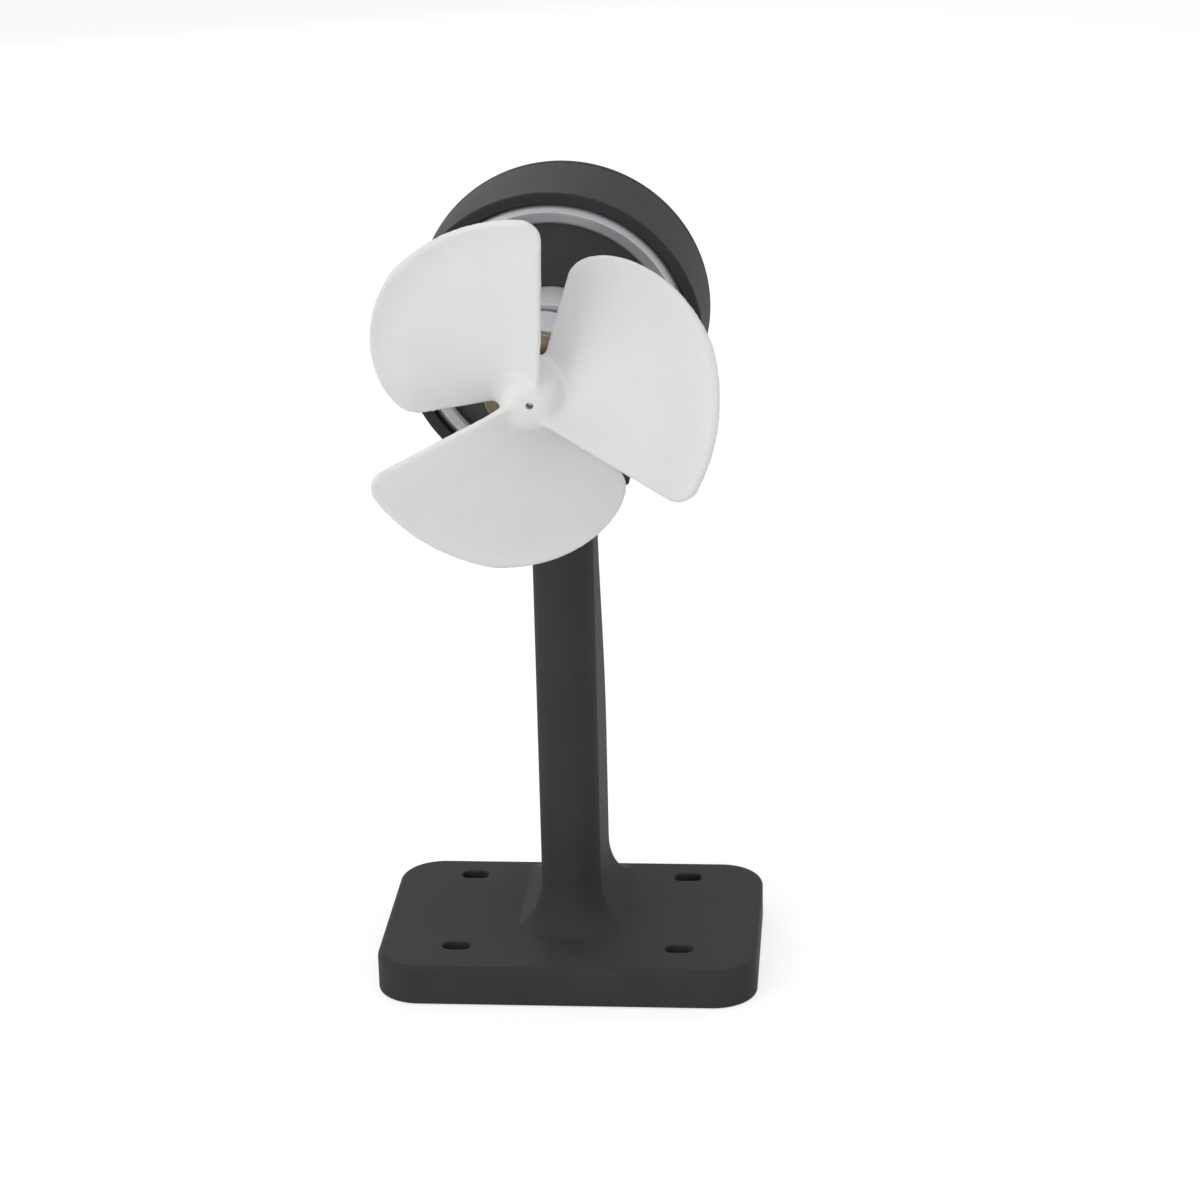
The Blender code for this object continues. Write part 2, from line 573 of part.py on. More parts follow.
for number, side in enumerate((-1, 1), 1):
    inward = saddle_screw_direction(side)
    seat = saddle_screw_seat(side) - inward * CLEARANCE
    length = SADDLE_THICKNESS - SPOT_FACE_DEPTH + 2 * CLEARANCE + SADDLE_SCREW_REACH
    screw(f"saddle_screw_{number}", SADDLE_SCREW, length, DARK_STEEL, seat, inward)

# ---------------------------------------------------------------- bezel and front plate
turned("front_bezel", [
    (BEZEL_INNER_RADIUS, BEZEL_BACK_Y), (BEZEL_INNER_RADIUS, BEZEL_FRONT_Y + BEZEL_SLOPE / 2),
    (BEZEL_INNER_RADIUS + BEZEL_SLOPE / 2, BEZEL_FRONT_Y),
    (BEZEL_OUTER_RADIUS - BEZEL_SLOPE_WIDTH, BEZEL_FRONT_Y),
    (BEZEL_OUTER_RADIUS, BEZEL_FRONT_Y + BEZEL_SLOPE),
    (BEZEL_OUTER_RADIUS, BEZEL_BACK_Y)], BRIGHT_RING)

front_plate = turned("front_plate", tube(NOSE_RADIUS + CLEARANCE, BEZEL_OUTER_RADIUS,
                                         PLATE_FRONT_Y, PLATE_BACK_Y), PLATE_BLACK)
plate_angles = [PLATE_SCREW_TURN + math.tau * i / PLATE_SCREW_COUNT
                for i in range(PLATE_SCREW_COUNT)]


def plate_screw_holes(name):
    """The screw holes that the front plate and the nose flange share."""
    mesh = bmesh.new()
    for angle in plate_angles:
        add_cylinder(mesh, PLATE_SCREW[0] + CLEARANCE,
                     around_shaft(PLATE_SCREW_RING, angle, PLATE_FRONT_Y - CUT_PAST),
                     around_shaft(PLATE_SCREW_RING, angle, FLANGE_BACK_Y + CUT_PAST))
    cutter = finish_object(name, mesh, PLATE_BLACK)
    cutter.location.z = SHAFT_HEIGHT
    return cutter


combine(front_plate, plate_screw_holes("plate_hole_cutter"), "DIFFERENCE")
for number, angle in enumerate(plate_angles, 1):
    seat = around_shaft(PLATE_SCREW_RING, angle, PLATE_FRONT_Y - CLEARANCE)
    screw(f"front_plate_screw_{number}", PLATE_SCREW, FLANGE_BACK_Y - PLATE_FRONT_Y,
          DARK_STEEL, seat + Vector((0, 0, SHAFT_HEIGHT)), Vector((0, 1, 0)))

# ---------------------------------------------------------------- bearing nose
nose = turned("bearing_nose", [
    (NOSE_TUNNEL_RADIUS, RETAINING_RING_Y), (BEARING_BORE_RADIUS, RETAINING_RING_Y),
    (BEARING_BORE_RADIUS, SPIGOT_FRONT_Y), (SPIGOT_RADIUS, SPIGOT_FRONT_Y),
    (SPIGOT_RADIUS, BARREL_FRONT_Y), (NOSE_RADIUS, BARREL_FRONT_Y),
    (NOSE_RADIUS, MOUTH_FLOOR_Y), (NOSE_FLANGE_RADIUS, MOUTH_FLOOR_Y),
    (NOSE_FLANGE_RADIUS, FLANGE_BACK_Y), (NOSE_TUNNEL_RADIUS, FLANGE_BACK_Y)],
    NOSE_GREY, MEDIUM_STEPS)
combine(nose, plate_screw_holes("flange_hole_cutter"), "DIFFERENCE")

turned("groove_ring", tube(SPIGOT_FIT_RADIUS, NOSE_RADIUS - GROOVE_DEPTH,
                           GROOVE_FRONT_Y, GROOVE_BACK_Y), RUBBER, MEDIUM_STEPS)
turned("nose_sleeve", tube(SPIGOT_FIT_RADIUS, NOSE_RADIUS, SPIGOT_FRONT_Y,
                           GROOVE_FRONT_Y - CLEARANCE, SLEEVE_EDGE), SLEEVE_WHITE, MEDIUM_STEPS)
turned("nose_cap", [
    (SHAFT_RADIUS + 2 * CLEARANCE, CAP_FRONT_Y), (CAP_RADIUS - SLEEVE_EDGE, CAP_FRONT_Y),
    (CAP_RADIUS, CAP_FRONT_Y + SLEEVE_EDGE), (CAP_RADIUS, CAP_BACK_Y),
    (BEARING_OUTER_RADIUS, CAP_BACK_Y), (BEARING_OUTER_RADIUS, CAP_BACK_Y + CAP_LIP),
    (BEARING_OUTER_RADIUS - BEARING_RACE, CAP_BACK_Y + CAP_LIP),
    (BEARING_OUTER_RADIUS - BEARING_RACE, CAP_BACK_Y),
    (SHAFT_RADIUS + 2 * CLEARANCE, CAP_BACK_Y)], BRASS, MEDIUM_STEPS)

# ---------------------------------------------------------------- rear cover and grommet
boss_front = REAR_BEARING_Y - CLEARANCE
spigot_front = COVER_FRONT_Y - COVER_SPIGOT_DEPTH
cover = turned("rear_cover", [
    (0, COVER_FRONT_Y), (BEARING_BORE_RADIUS, COVER_FRONT_Y),
    (BEARING_BORE_RADIUS, boss_front), (COVER_BOSS_RADIUS, boss_front),
    (COVER_BOSS_RADIUS, COVER_FRONT_Y), (COVER_SPIGOT_INNER_RADIUS, COVER_FRONT_Y),
    (COVER_SPIGOT_INNER_RADIUS, spigot_front), (COVER_SPIGOT_RADIUS, spigot_front),
    (COVER_SPIGOT_RADIUS, COVER_FRONT_Y), (HOUSING_RADIUS, COVER_FRONT_Y),
    (HOUSING_RADIUS, COVER_BACK_Y - HOUSING_EDGE),
    (HOUSING_RADIUS - HOUSING_EDGE, COVER_BACK_Y), (0, COVER_BACK_Y)], HOUSING_COAT)
cover_holes = bmesh.new()
for angle in cover_angles:
    add_cylinder(cover_holes, COVER_SCREW[0] + CLEARANCE,
                 around_shaft(COVER_SCREW_RING, angle, COVER_FRONT_Y - CUT_PAST),
                 around_shaft(COVER_SCREW_RING, angle, COVER_BACK_Y + CUT_PAST))
add_cylinder(cover_holes, GROMMET_NECK_RADIUS + CLEARANCE,
             (0, COVER_FRONT_Y - CUT_PAST, -GROMMET_DROP),
             (0, COVER_BACK_Y + CUT_PAST, -GROMMET_DROP), SMALL_STEPS)
cover_cutter = finish_object("cover_hole_cutter", cover_holes, HOUSING_COAT)
cover_cutter.location.z = SHAFT_HEIGHT
combine(cover, cover_cutter, "DIFFERENCE")

for number, angle in enumerate(cover_angles, 1):
    seat = around_shaft(COVER_SCREW_RING, angle, COVER_BACK_Y + CLEARANCE)
    screw(f"rear_cover_screw_{number}", COVER_SCREW, COVER_THICKNESS + COVER_SCREW_REACH,
          DARK_STEEL, seat + Vector((0, 0, SHAFT_HEIGHT)), Vector((0, -1, 0)))

lip_radius = GROMMET_NECK_RADIUS + GROMMET_LIP
lip_back = COVER_BACK_Y + CLEARANCE
lip_front = COVER_FRONT_Y - CLEARANCE
turned("output_grommet", [
    (GROMMET_BORE_RADIUS, lip_front - GROMMET_LIP_THICKNESS),
    (lip_radius, lip_front - GROMMET_LIP_THICKNESS), (lip_radius, lip_front),
    (GROMMET_NECK_RADIUS, lip_front), (GROMMET_NECK_RADIUS, lip_back),
    (lip_radius, lip_back), (lip_radius, lip_back + GROMMET_LIP_THICKNESS),
    (GROMMET_BORE_RADIUS, lip_back + GROMMET_LIP_THICKNESS)],
    RUBBER, SMALL_STEPS, height=SHAFT_HEIGHT - GROMMET_DROP)

# ---------------------------------------------------------------- stator and coils
tooth_pitch = math.tau / TOOTH_COUNT


def build_stator():
    """The laminated core: a round yoke with teeth that reach in to the magnets."""
    shoe = math.asin(TOOTH_SHOE_WIDTH / 2 / STATOR_INNER_RADIUS)
    neck_radius = STATOR_INNER_RADIUS + TOOTH_SHOE_HEIGHT
    neck = math.asin(TOOTH_WIDTH / 2 / neck_radius)
    root = math.asin(TOOTH_WIDTH / 2 / YOKE_INNER_RADIUS)
    last = tooth_pitch - root
    yoke = [root + (last - root) * step / YOKE_STEPS for step in range(YOKE_STEPS)]
    tooth = [(YOKE_INNER_RADIUS, -root), (neck_radius, -neck), (neck_radius, -shoe),
             (STATOR_INNER_RADIUS, -shoe), (STATOR_INNER_RADIUS, 0), (STATOR_INNER_RADIUS, shoe),
             (neck_radius, shoe), (neck_radius, neck)]
    tooth += [(YOKE_INNER_RADIUS, angle) for angle in yoke]
    outline = [around_shaft(radius, angle + tooth_pitch * (i + 0.5), STATOR_FRONT_Y)
               for i in range(TOOTH_COUNT) for radius, angle in tooth]
    steps = TOOTH_COUNT * (YOKE_STEPS + 2)
    rim = [around_shaft(STATOR_OUTER_RADIUS, math.tau * i / steps, STATOR_FRONT_Y)
           for i in range(steps)]
    mesh = bmesh.new()
    edges = []
    for loop in (outline, rim):
        verts = [mesh.verts.new(point) for point in loop]
        edges += [mesh.edges.new(pair) for pair in zip(verts, verts[1:] + verts[:1])]
    bmesh.ops.triangle_fill(mesh, edges=edges, use_beauty=True, normal=(0, -1, 0))
    raised = bmesh.ops.extrude_face_region(mesh, geom=list(mesh.faces))
    moved = [item for item in raised["geom"] if isinstance(item, bmesh.types.BMVert)]
    bmesh.ops.translate(mesh, verts=moved, vec=(0, STATOR_LENGTH, 0))
    bmesh.ops.recalc_face_normals(mesh, faces=mesh.faces)
    stator = finish_object("stator_core", mesh, LAMINATION)
    stator.location.z = SHAFT_HEIGHT


build_stator()


def build_coil(number):
    """One winding: a rectangular ring round its tooth."""
    near = STATOR_INNER_RADIUS + TOOTH_SHOE_HEIGHT + COIL_END_GAP
    far = YOKE_INNER_RADIUS - COIL_END_GAP
    half_in = (TOOTH_WIDTH / 2 + CLEARANCE, STATOR_LENGTH / 2 + CLEARANCE)
    half_out = (half_in[0] + COIL_THICKNESS, half_in[1] + COIL_THICKNESS)
    mesh = bmesh.new()
    bmesh.ops.create_cube(mesh, size=1)
    for vert in mesh.verts:
        sign = [math.copysign(1, value) for value in vert.co]
        vert.co = ((near + far) / 2 + sign[0] * (far - near) / 2,
                   STATOR_CENTRE_Y + sign[1] * half_out[1], sign[2] * half_out[0])
    corners = [e for e in mesh.edges if abs(e.verts[0].co.x - e.verts[1].co.x) > MERGE]
    bmesh.ops.bevel(mesh, geom=corners, offset=COIL_CORNER, segments=2,
                    profile=0.5, affect="EDGES", material=-1)
    coil = finish_object(f"coil_{number}", mesh, COPPER)
    window = bmesh.new()
    bmesh.ops.create_cube(window, size=1)
    for vert in window.verts:
        sign = [math.copysign(1, value) for value in vert.co]
        vert.co = ((near + far) / 2 + sign[0] * (far - near),
                   STATOR_CENTRE_Y + sign[1] * half_in[1], sign[2] * half_in[0])
    cutter = finish_object(f"coil_window_{number}", window, COPPER)
    for piece in (coil, cutter):
        piece.rotation_euler.y = -tooth_pitch * (number - 0.5)
        piece.location.z = SHAFT_HEIGHT
    combine(coil, cutter, "DIFFERENCE")


for number in range(1, TOOTH_COUNT + 1):
    build_coil(number)


# ---------------------------------------------------------------- ball bearings
def build_bearing(place, front):
    """Outer ring in its seat; inner ring and caged balls that turn with the shaft."""
    back = front + BEARING_WIDTH
    inner_track = ON_SHAFT_RADIUS + BEARING_RACE
    outer_track = BEARING_OUTER_RADIUS - BEARING_RACE
    turned(f"{place}_bearing_outer_ring", tube(outer_track, BEARING_OUTER_RADIUS, front, back),
           STEEL, SMALL_STEPS)
    turned(f"{place}_bearing_inner_ring", tube(ON_SHAFT_RADIUS, inner_track, front, back),
           STEEL, SMALL_STEPS, rotor_axis)
    track = (inner_track + outer_track) / 2
    ball_radius = (outer_track - inner_track) / 2 - CLEARANCE
    middle = (front + back) / 2
    cage = turned(f"{place}_ball_cage", tube(
        track - CAGE_HALF_THICKNESS, track + CAGE_HALF_THICKNESS,
        middle - CAGE_HALF_WIDTH, middle + CAGE_HALF_WIDTH), STEEL, SMALL_STEPS, rotor_axis)
    mesh = bmesh.new()
    for i in range(BALL_COUNT):
        spot = around_shaft(track, math.tau * i / BALL_COUNT, middle)
        bmesh.ops.create_uvsphere(mesh, u_segments=8, v_segments=5, radius=ball_radius,
                                  matrix=Matrix.Translation(spot))
    balls = finish_object(f"{place}_balls", mesh, STEEL, rotor_axis)
    combine(cage, balls, "UNION")


build_bearing("front", FRONT_BEARING_Y)
build_bearing("rear", REAR_BEARING_Y)

# ---------------------------------------------------------------- shaft, rotor core, magnets
shaft_shoulder = HUB_BACK_Y + CLEARANCE
shaft_back = COVER_FRONT_Y - 2 * CLEARANCE
turned("shaft", [
    (0, INSERT_FRONT_Y), (SHAFT_TIP_RADIUS - SHAFT_TIP_EDGE, INSERT_FRONT_Y),
    (SHAFT_TIP_RADIUS, INSERT_FRONT_Y + SHAFT_TIP_EDGE), (SHAFT_TIP_RADIUS, shaft_shoulder),
    (SHAFT_RADIUS, shaft_shoulder), (SHAFT_RADIUS, shaft_back), (0, shaft_back)],
    STEEL, SMALL_STEPS, rotor_axis)

ring_mesh = bmesh.new()
spin_section(ring_mesh, tube(ON_SHAFT_RADIUS, RETAINING_RING_RADIUS, RETAINING_RING_Y,
                             RETAINING_RING_Y + RETAINING_RING_THICKNESS), SMALL_STEPS,
             RETAINING_RING_TURN)
finish_object("retaining_ring", ring_mesh, DARK_STEEL, rotor_axis)

turned("rotor_core", tube(ON_SHAFT_RADIUS, ROTOR_CORE_RADIUS, STATOR_FRONT_Y, STATOR_BACK_Y),
       LAMINATION, MEDIUM_STEPS, rotor_axis)
magnet_pitch = math.tau / MAGNET_COUNT
for number in range(1, MAGNET_COUNT + 1):
    magnet_mesh = bmesh.new()
    spin_section(magnet_mesh, tube(MAGNET_INNER_RADIUS, MAGNET_OUTER_RADIUS, STATOR_FRONT_Y,
                                   STATOR_BACK_Y), MAGNET_STEPS,
                 magnet_pitch - MAGNET_SPACING, magnet_pitch * number)
    finish_object(f"magnet_{number}", magnet_mesh, MAGNET_NICKEL, rotor_axis)

# ---------------------------------------------------------------- propeller
turned("hub_insert", tube(SHAFT_TIP_RADIUS + CLEARANCE, INSERT_RADIUS, INSERT_FRONT_Y,
                          HUB_BACK_Y), BRASS, SMALL_STEPS, rotor_axis)


def leading_angle(radius):
    """Angle of a blade's straight leading edge, with its rounded tip corner."""
    angle = LEADING_ANGLE - math.asin(LEADING_OFFSET / radius)
    into_corner = radius - (PROPELLER_RADIUS - LEADING_ROUND)
    if into_corner > 0:
        inset = LEADING_ROUND - math.sqrt(max(LEADING_ROUND ** 2 - into_corner ** 2, 0))
        angle += inset / radius
    return angle


def trailing_angle(radius):
    """Angle of a blade's trailing edge, which curves in towards the tip."""
    start = PROPELLER_RADIUS * TRAILING_START_SHARE
    share = max(radius - start, 0) / (PROPELLER_RADIUS - start)
    return TRAILING_ANGLE_FULL + (TRAILING_ANGLE_TIP - TRAILING_ANGLE_FULL) * share ** TRAILING_POWER


def soft_minimum(first, second, blend):
    """The smaller of two lengths, with the change from one to the other rounded off."""
    share = min(max(0.5 + 0.5 * (second - first) / blend, 0), 1)
    return second + (first - second) * share - blend * share * (1 - share)


def build_blade(number):
    """A helical blade: its leading edge lies in front, its trailing edge behind."""
    mesh = bmesh.new()
    bmesh.ops.create_grid(mesh, x_segments=BLADE_STEPS_ALONG, y_segments=BLADE_STEPS_OUT,
                          size=0.5)
    lead_y = HUB_FRONT_Y + BLADE_SETBACK
    root_depth = HUB_LENGTH - BLADE_SETBACK - BLADE_ROOT_MARGIN
    turn = math.tau * number / BLADE_COUNT
    for vert in mesh.verts:
        across, out = vert.co.x + 0.5, math.sin((vert.co.y + 0.5) * math.pi / 2)
        radius = BLADE_ROOT_RADIUS + (PROPELLER_RADIUS - BLADE_ROOT_RADIUS) * out
        first, last = leading_angle(radius), trailing_angle(radius)
        deepest = root_depth + (BLADE_TIP_DEPTH - root_depth) * out
        depth = soft_minimum(BLADE_PITCH * (last - first), deepest, BLADE_DEPTH_BLEND)
        angle = first + (last - first) * across + turn
        vert.co = around_shaft(radius, angle, lead_y + depth * across)
    bmesh.ops.recalc_face_normals(mesh, faces=mesh.faces)
    blade = finish_object(f"blade_solid_{number}", mesh, WHITE_NYLON, rotor_axis)
    wall = blade.modifiers.new("wall", "SOLIDIFY")
    wall.thickness = BLADE_THICKNESS
    wall.offset = 0
    return blade


hub_arc = [math.pi / 2 * step / HUB_ROUND_STEPS for step in range(HUB_ROUND_STEPS + 1)]
hub_round = [(HUB_SHOULDER_RADIUS - HUB_ROUNDING * (1 - math.sin(angle)),
              HUB_FRONT_Y + HUB_ROUNDING_DEPTH * (1 - math.cos(angle))) for angle in hub_arc]
propeller = turned("propeller", [(HUB_EYE_RADIUS, HUB_FRONT_Y)] + hub_round + [
    (HUB_REAR_RADIUS, HUB_BACK_Y), (ON_INSERT_RADIUS, HUB_BACK_Y),
    (ON_INSERT_RADIUS, INSERT_FRONT_Y - CLEARANCE),
    (HUB_EYE_RADIUS, INSERT_FRONT_Y - CLEARANCE)], WHITE_NYLON, SMALL_STEPS, rotor_axis)
for number in range(1, BLADE_COUNT + 1):
    combine(propeller, build_blade(number), "UNION")
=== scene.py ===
"""Looks of a small bench wind turbine: a white propeller, a ring-shaped generator and a cast
pedestal.

Metres, +Z up.  The shaft runs level along Y, with the propeller towards -Y.
"""
import json
import math

import bmesh
import bpy
from mathutils import Matrix, Vector


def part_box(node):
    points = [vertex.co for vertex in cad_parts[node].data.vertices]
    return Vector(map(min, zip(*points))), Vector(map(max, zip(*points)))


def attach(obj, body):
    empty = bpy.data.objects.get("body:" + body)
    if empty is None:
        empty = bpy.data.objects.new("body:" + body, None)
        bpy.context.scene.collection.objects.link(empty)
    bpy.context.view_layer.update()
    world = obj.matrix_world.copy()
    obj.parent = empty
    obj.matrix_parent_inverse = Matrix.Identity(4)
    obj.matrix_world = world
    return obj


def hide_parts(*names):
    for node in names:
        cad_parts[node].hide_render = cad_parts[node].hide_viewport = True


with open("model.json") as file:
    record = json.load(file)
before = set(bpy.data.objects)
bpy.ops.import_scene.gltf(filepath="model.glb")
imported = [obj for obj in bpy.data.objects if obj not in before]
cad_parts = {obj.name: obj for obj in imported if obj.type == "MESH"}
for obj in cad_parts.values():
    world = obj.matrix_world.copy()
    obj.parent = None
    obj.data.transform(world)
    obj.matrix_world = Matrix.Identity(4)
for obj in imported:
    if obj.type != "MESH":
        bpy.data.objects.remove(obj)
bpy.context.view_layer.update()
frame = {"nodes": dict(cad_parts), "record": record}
nodes = frame["nodes"]
shaft_z = frame["record"]["behaviour"]["joints"][0]["pos_m"][2]
fit_gap = 0.0003                                    # between pieces that touch
same_place = 0.000001                               # points closer than this are one

# ---------------------------------------------------------------- camera
# A long lens on a stand in front of the turbine, a little above it and a few degrees to its right,
# turned slightly in its mount.
camera_place = (0.0894, -0.9192, 0.4509)
camera_down = math.radians(20)
camera_round = math.radians(4.93)
camera_roll = math.radians(-1.31)
camera_data = bpy.data.cameras.new("camera")
camera_data.sensor_width = 36
camera_data.lens = 98.1
camera = bpy.data.objects.new("camera", camera_data)
camera.matrix_world = (Matrix.Translation(camera_place) @ Matrix.Rotation(camera_round, 4, "Z")
                       @ Matrix.Rotation(math.pi / 2 - camera_down, 4, "X")
                       @ Matrix.Rotation(camera_roll, 4, "Z"))
bpy.context.collection.objects.link(camera)
bpy.context.scene.camera = camera


# ---------------------------------------------------------------- pedestal
# One aluminium casting, sand cast and powder coated satin black: a slotted plate, a column with a
# rounded nose and a rib behind it, and a curved saddle that the generator's ring lies in.
def linear_rgb(colour):
    """A hex sRGB colour such as #808080 as linear light, with alpha."""
    channels = [int(colour[i:i + 2], 16) / 255 for i in (1, 3, 5)]
    return [c / 12.92 if c <= 0.04045 else ((c + 0.055) / 1.055) ** 2.4 for c in channels] + [1.0]


def add_node(material, kind, inputs=None, **settings):
    """Add a node. An input is a value, or the output socket that it is linked to."""
    node = material.node_tree.nodes.new(kind)
    for name, value in settings.items():
        setattr(node, name, value)
    for name, value in (inputs or {}).items():
        if isinstance(value, bpy.types.NodeSocket):
            material.node_tree.links.new(value, node.inputs[name])
        else:
            node.inputs[name].default_value = value
    return node


def new_material(name, colour, roughness, **sockets):
    """A Principled material, with its constant values on the shader's own sockets."""
    material = bpy.data.materials.new(name)
    material.use_nodes = True
    shader = material.node_tree.nodes["Principled BSDF"]
    shader.inputs["Base Color"].default_value = linear_rgb(colour)
    shader.inputs["Roughness"].default_value = roughness
    for socket, value in sockets.items():
        shader.inputs[socket.replace("_", " ")].default_value = value
    return material, shader


def drive(material, socket, output):
    """Link an output to one of the shader's own sockets."""
    material.node_tree.links.new(output, socket)


def colour_between(material, shader, factor, low, dark, high, light):
    """Blend the colour from dark to light while a factor goes from low to high."""
    tone = add_node(material, "ShaderNodeValToRGB", {"Fac": factor})
    stops = tone.color_ramp.elements
    stops[0].position, stops[0].color = low, linear_rgb(dark)
    stops[1].position, stops[1].color = high, linear_rgb(light)
    drive(material, shader.inputs["Base Color"], tone.outputs["Color"])


def add_relief(material, shader, height, strength, depth):
    """Let a height raise the surface by up to `depth`, in its shading only."""
    bump = add_node(material, "ShaderNodeBump", {
        "Height": height, "Strength": strength, "Distance": depth})
    drive(material, shader.inputs["Normal"], bump.outputs["Normal"])


def mottled(material, shader, dark, light, patch, rough_low, rough_high):
    """Vary the colour between two near tones, and the roughness, in patches of a given size."""
    low, high = 0.3, 0.7                            # the noise seldom goes beyond these
    place = add_node(material, "ShaderNodeTexCoord")
    cloud = add_node(material, "ShaderNodeTexNoise", {
        "Vector": place.outputs["Object"], "Scale": 1 / patch, "Detail": 4.0, "Roughness": 0.6})
    colour_between(material, shader, cloud.outputs["Fac"], low, dark, high, light)
    rough = add_node(material, "ShaderNodeMapRange", {
        "Value": cloud.outputs["Fac"], "From Min": low, "From Max": high,
        "To Min": rough_low, "To Max": rough_high})
    drive(material, shader.inputs["Roughness"], rough.outputs["Result"])
    return place.outputs["Object"]


def powder_coat(name, dark, light, rough_low, rough_high):
    """Powder coat: satin, with a fine even grain where the powder has flowed together."""
    grain, grain_height = 0.0006, 0.00003
    material, shader = new_material(name, dark, rough_low, Specular_IOR_Level=0.15)
    place = mottled(material, shader, dark, light, 0.03, rough_low, rough_high)
    grains = add_node(material, "ShaderNodeTexNoise", {
        "Vector": place, "Scale": 1 / grain, "Detail": 2.0, "Roughness": 0.5})
    add_relief(material, shader, grains.outputs["Fac"], strength=0.35, depth=grain_height)
    return material


def new_piece(name, mesh, material, sharp=35):
    """An object at the origin from a bmesh, smooth where its faces meet at less than `sharp`."""
    data = bpy.data.meshes.new(name)
    mesh.to_mesh(data)
    mesh.free()
    data.shade_smooth()
    data.set_sharp_from_angle(angle=math.radians(sharp))
    data.materials.append(material)
    piece = bpy.data.objects.new(name, data)
    bpy.context.collection.objects.link(piece)
    return piece


def combined(piece, steps, sharp=35):
    """Add or cut the other pieces, in turn, with exact Booleans, and keep only the result."""
    for other, operation in steps:
        modifier = piece.modifiers.new("combine", "BOOLEAN")
        modifier.operation = operation
        modifier.object = other
        modifier.solver = "EXACT"
    graph = bpy.context.evaluated_depsgraph_get()
    data = bpy.data.meshes.new_from_object(piece.evaluated_get(graph))
    piece.modifiers.clear()
    piece.data = data
    data.shade_smooth()
    data.set_sharp_from_angle(angle=math.radians(sharp))
    for other, _ in steps:
        bpy.data.objects.remove(other, do_unlink=True)
    return piece


def even_shading(piece):
    """Let the large faces lead the shading, so that flat faces stay flat beside a fillet."""
    modifier = piece.modifiers.new("even_shading", "WEIGHTED_NORMAL")
    modifier.keep_sharp = True
    modifier.weight = 100


def spin_section(mesh, section, steps, angle=math.tau, start=0.0):
    """Spin a closed section of (radius, y) points about the shaft line."""
    points = [mesh.verts.new((radius, y, 0)) for radius, y in section]
    whole = angle >= math.tau
    if whole:
        pairs = zip(points, points[1:] + points[:1])
        outline = [mesh.edges.new(pair) for pair in pairs if any(v.co.x > 0 for v in pair)]
    else:
        outline = [mesh.faces.new(points)]
        bmesh.ops.rotate(mesh, verts=points, matrix=Matrix.Rotation(start, 3, "Y"))
    bmesh.ops.spin(mesh, geom=points + outline, cent=(0, 0, 0), axis=(0, 1, 0),
                   angle=angle, steps=steps, use_merge=whole)
    bmesh.ops.remove_doubles(mesh, verts=mesh.verts, dist=same_place)
    bmesh.ops.translate(mesh, verts=mesh.verts, vec=(0, 0, shaft_z))
    bmesh.ops.recalc_face_normals(mesh, faces=mesh.faces)


def band(inner, outer, front, back):
    """The section of a plain band, for spin_section."""
    return [(inner, front), (outer, front), (outer, back), (inner, back)]


def bevel(mesh, edges, offset, segments):
    """Round the edges off."""
    bmesh.ops.bevel(mesh, geom=edges, offset=offset, segments=segments, profile=0.5,
                    affect="EDGES", material=-1)


def crisp_edges(mesh, least):
    """The edges whose faces meet at more than `least` degrees."""
    return [e for e in mesh.edges if e.calc_face_angle(0) > math.radians(least)]


black_coat = powder_coat("satin_black_powder_coat", "#323133", "#39383A", 0.66, 0.74)

base_low, base_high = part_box("pedestal")
ring_low, ring_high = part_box("ring_housing")
ring_radius = (ring_high.x - ring_low.x) / 2
ring_steps = 192                                    # facets round the ring
base_width, base_depth = base_high.x - base_low.x, base_high.y - base_low.y
base_centre_y = (base_low.y + base_high.y) / 2
base_thickness = 0.0122
base_corner = 0.0135
base_edge = 0.0018
base_foot_edge = 0.0005
slot_inset_x, slot_inset_front, slot_inset_rear = 0.02385, 0.01575, 0.01135
slot_length, slot_width = 0.0085, 0.0052
slot_edge = 0.0004
column_width, column_depth = 0.0183, 0.0240
column_setback = 0.0113                             # of its nose, behind the ring's front
column_front = ring_low.y + column_setback
column_back = column_front + column_depth
nose_angle = math.radians(72)                       # the nose stops here, at a crisp edge
rear_corner = 0.0030
foot_fillet, foot_rise, foot_margin = 0.0080, 0.0150, 0.0020
fillet_start = math.radians(3)                      # the slope at which a fillet leaves its face
rib_back = base_high.y - foot_margin - foot_fillet
rib_swell_share = 0.70                              # of the height, over which the rib swells
neck_fillet = 0.0045
straight_levels = 30                                # between the two fillets
saddle_thickness = 0.0050
saddle_angle = math.radians(26)
saddle_margin = 0.0050
saddle_edge = 0.0008
saddle_steps = 36

plate = bmesh.new()
bmesh.ops.create_cube(
    plate, size=1, matrix=Matrix.Translation((0, base_centre_y, base_thickness / 2))
    @ Matrix.Diagonal((base_width, base_depth, base_thickness, 1)))
uprights = [e for e in plate.edges if e.verts[0].co.xy == e.verts[1].co.xy]
bevel(plate, uprights, base_corner, 20)
for height, offset, segments in ((base_thickness, base_edge, 6), (0, base_foot_edge, 2)):
    rim = [e for e in plate.edges if all(abs(v.co.z - height) < same_place for v in e.verts)]
    bevel(plate, rim, offset, segments)
pedestal = new_piece("pedestal_casting", plate, black_coat)

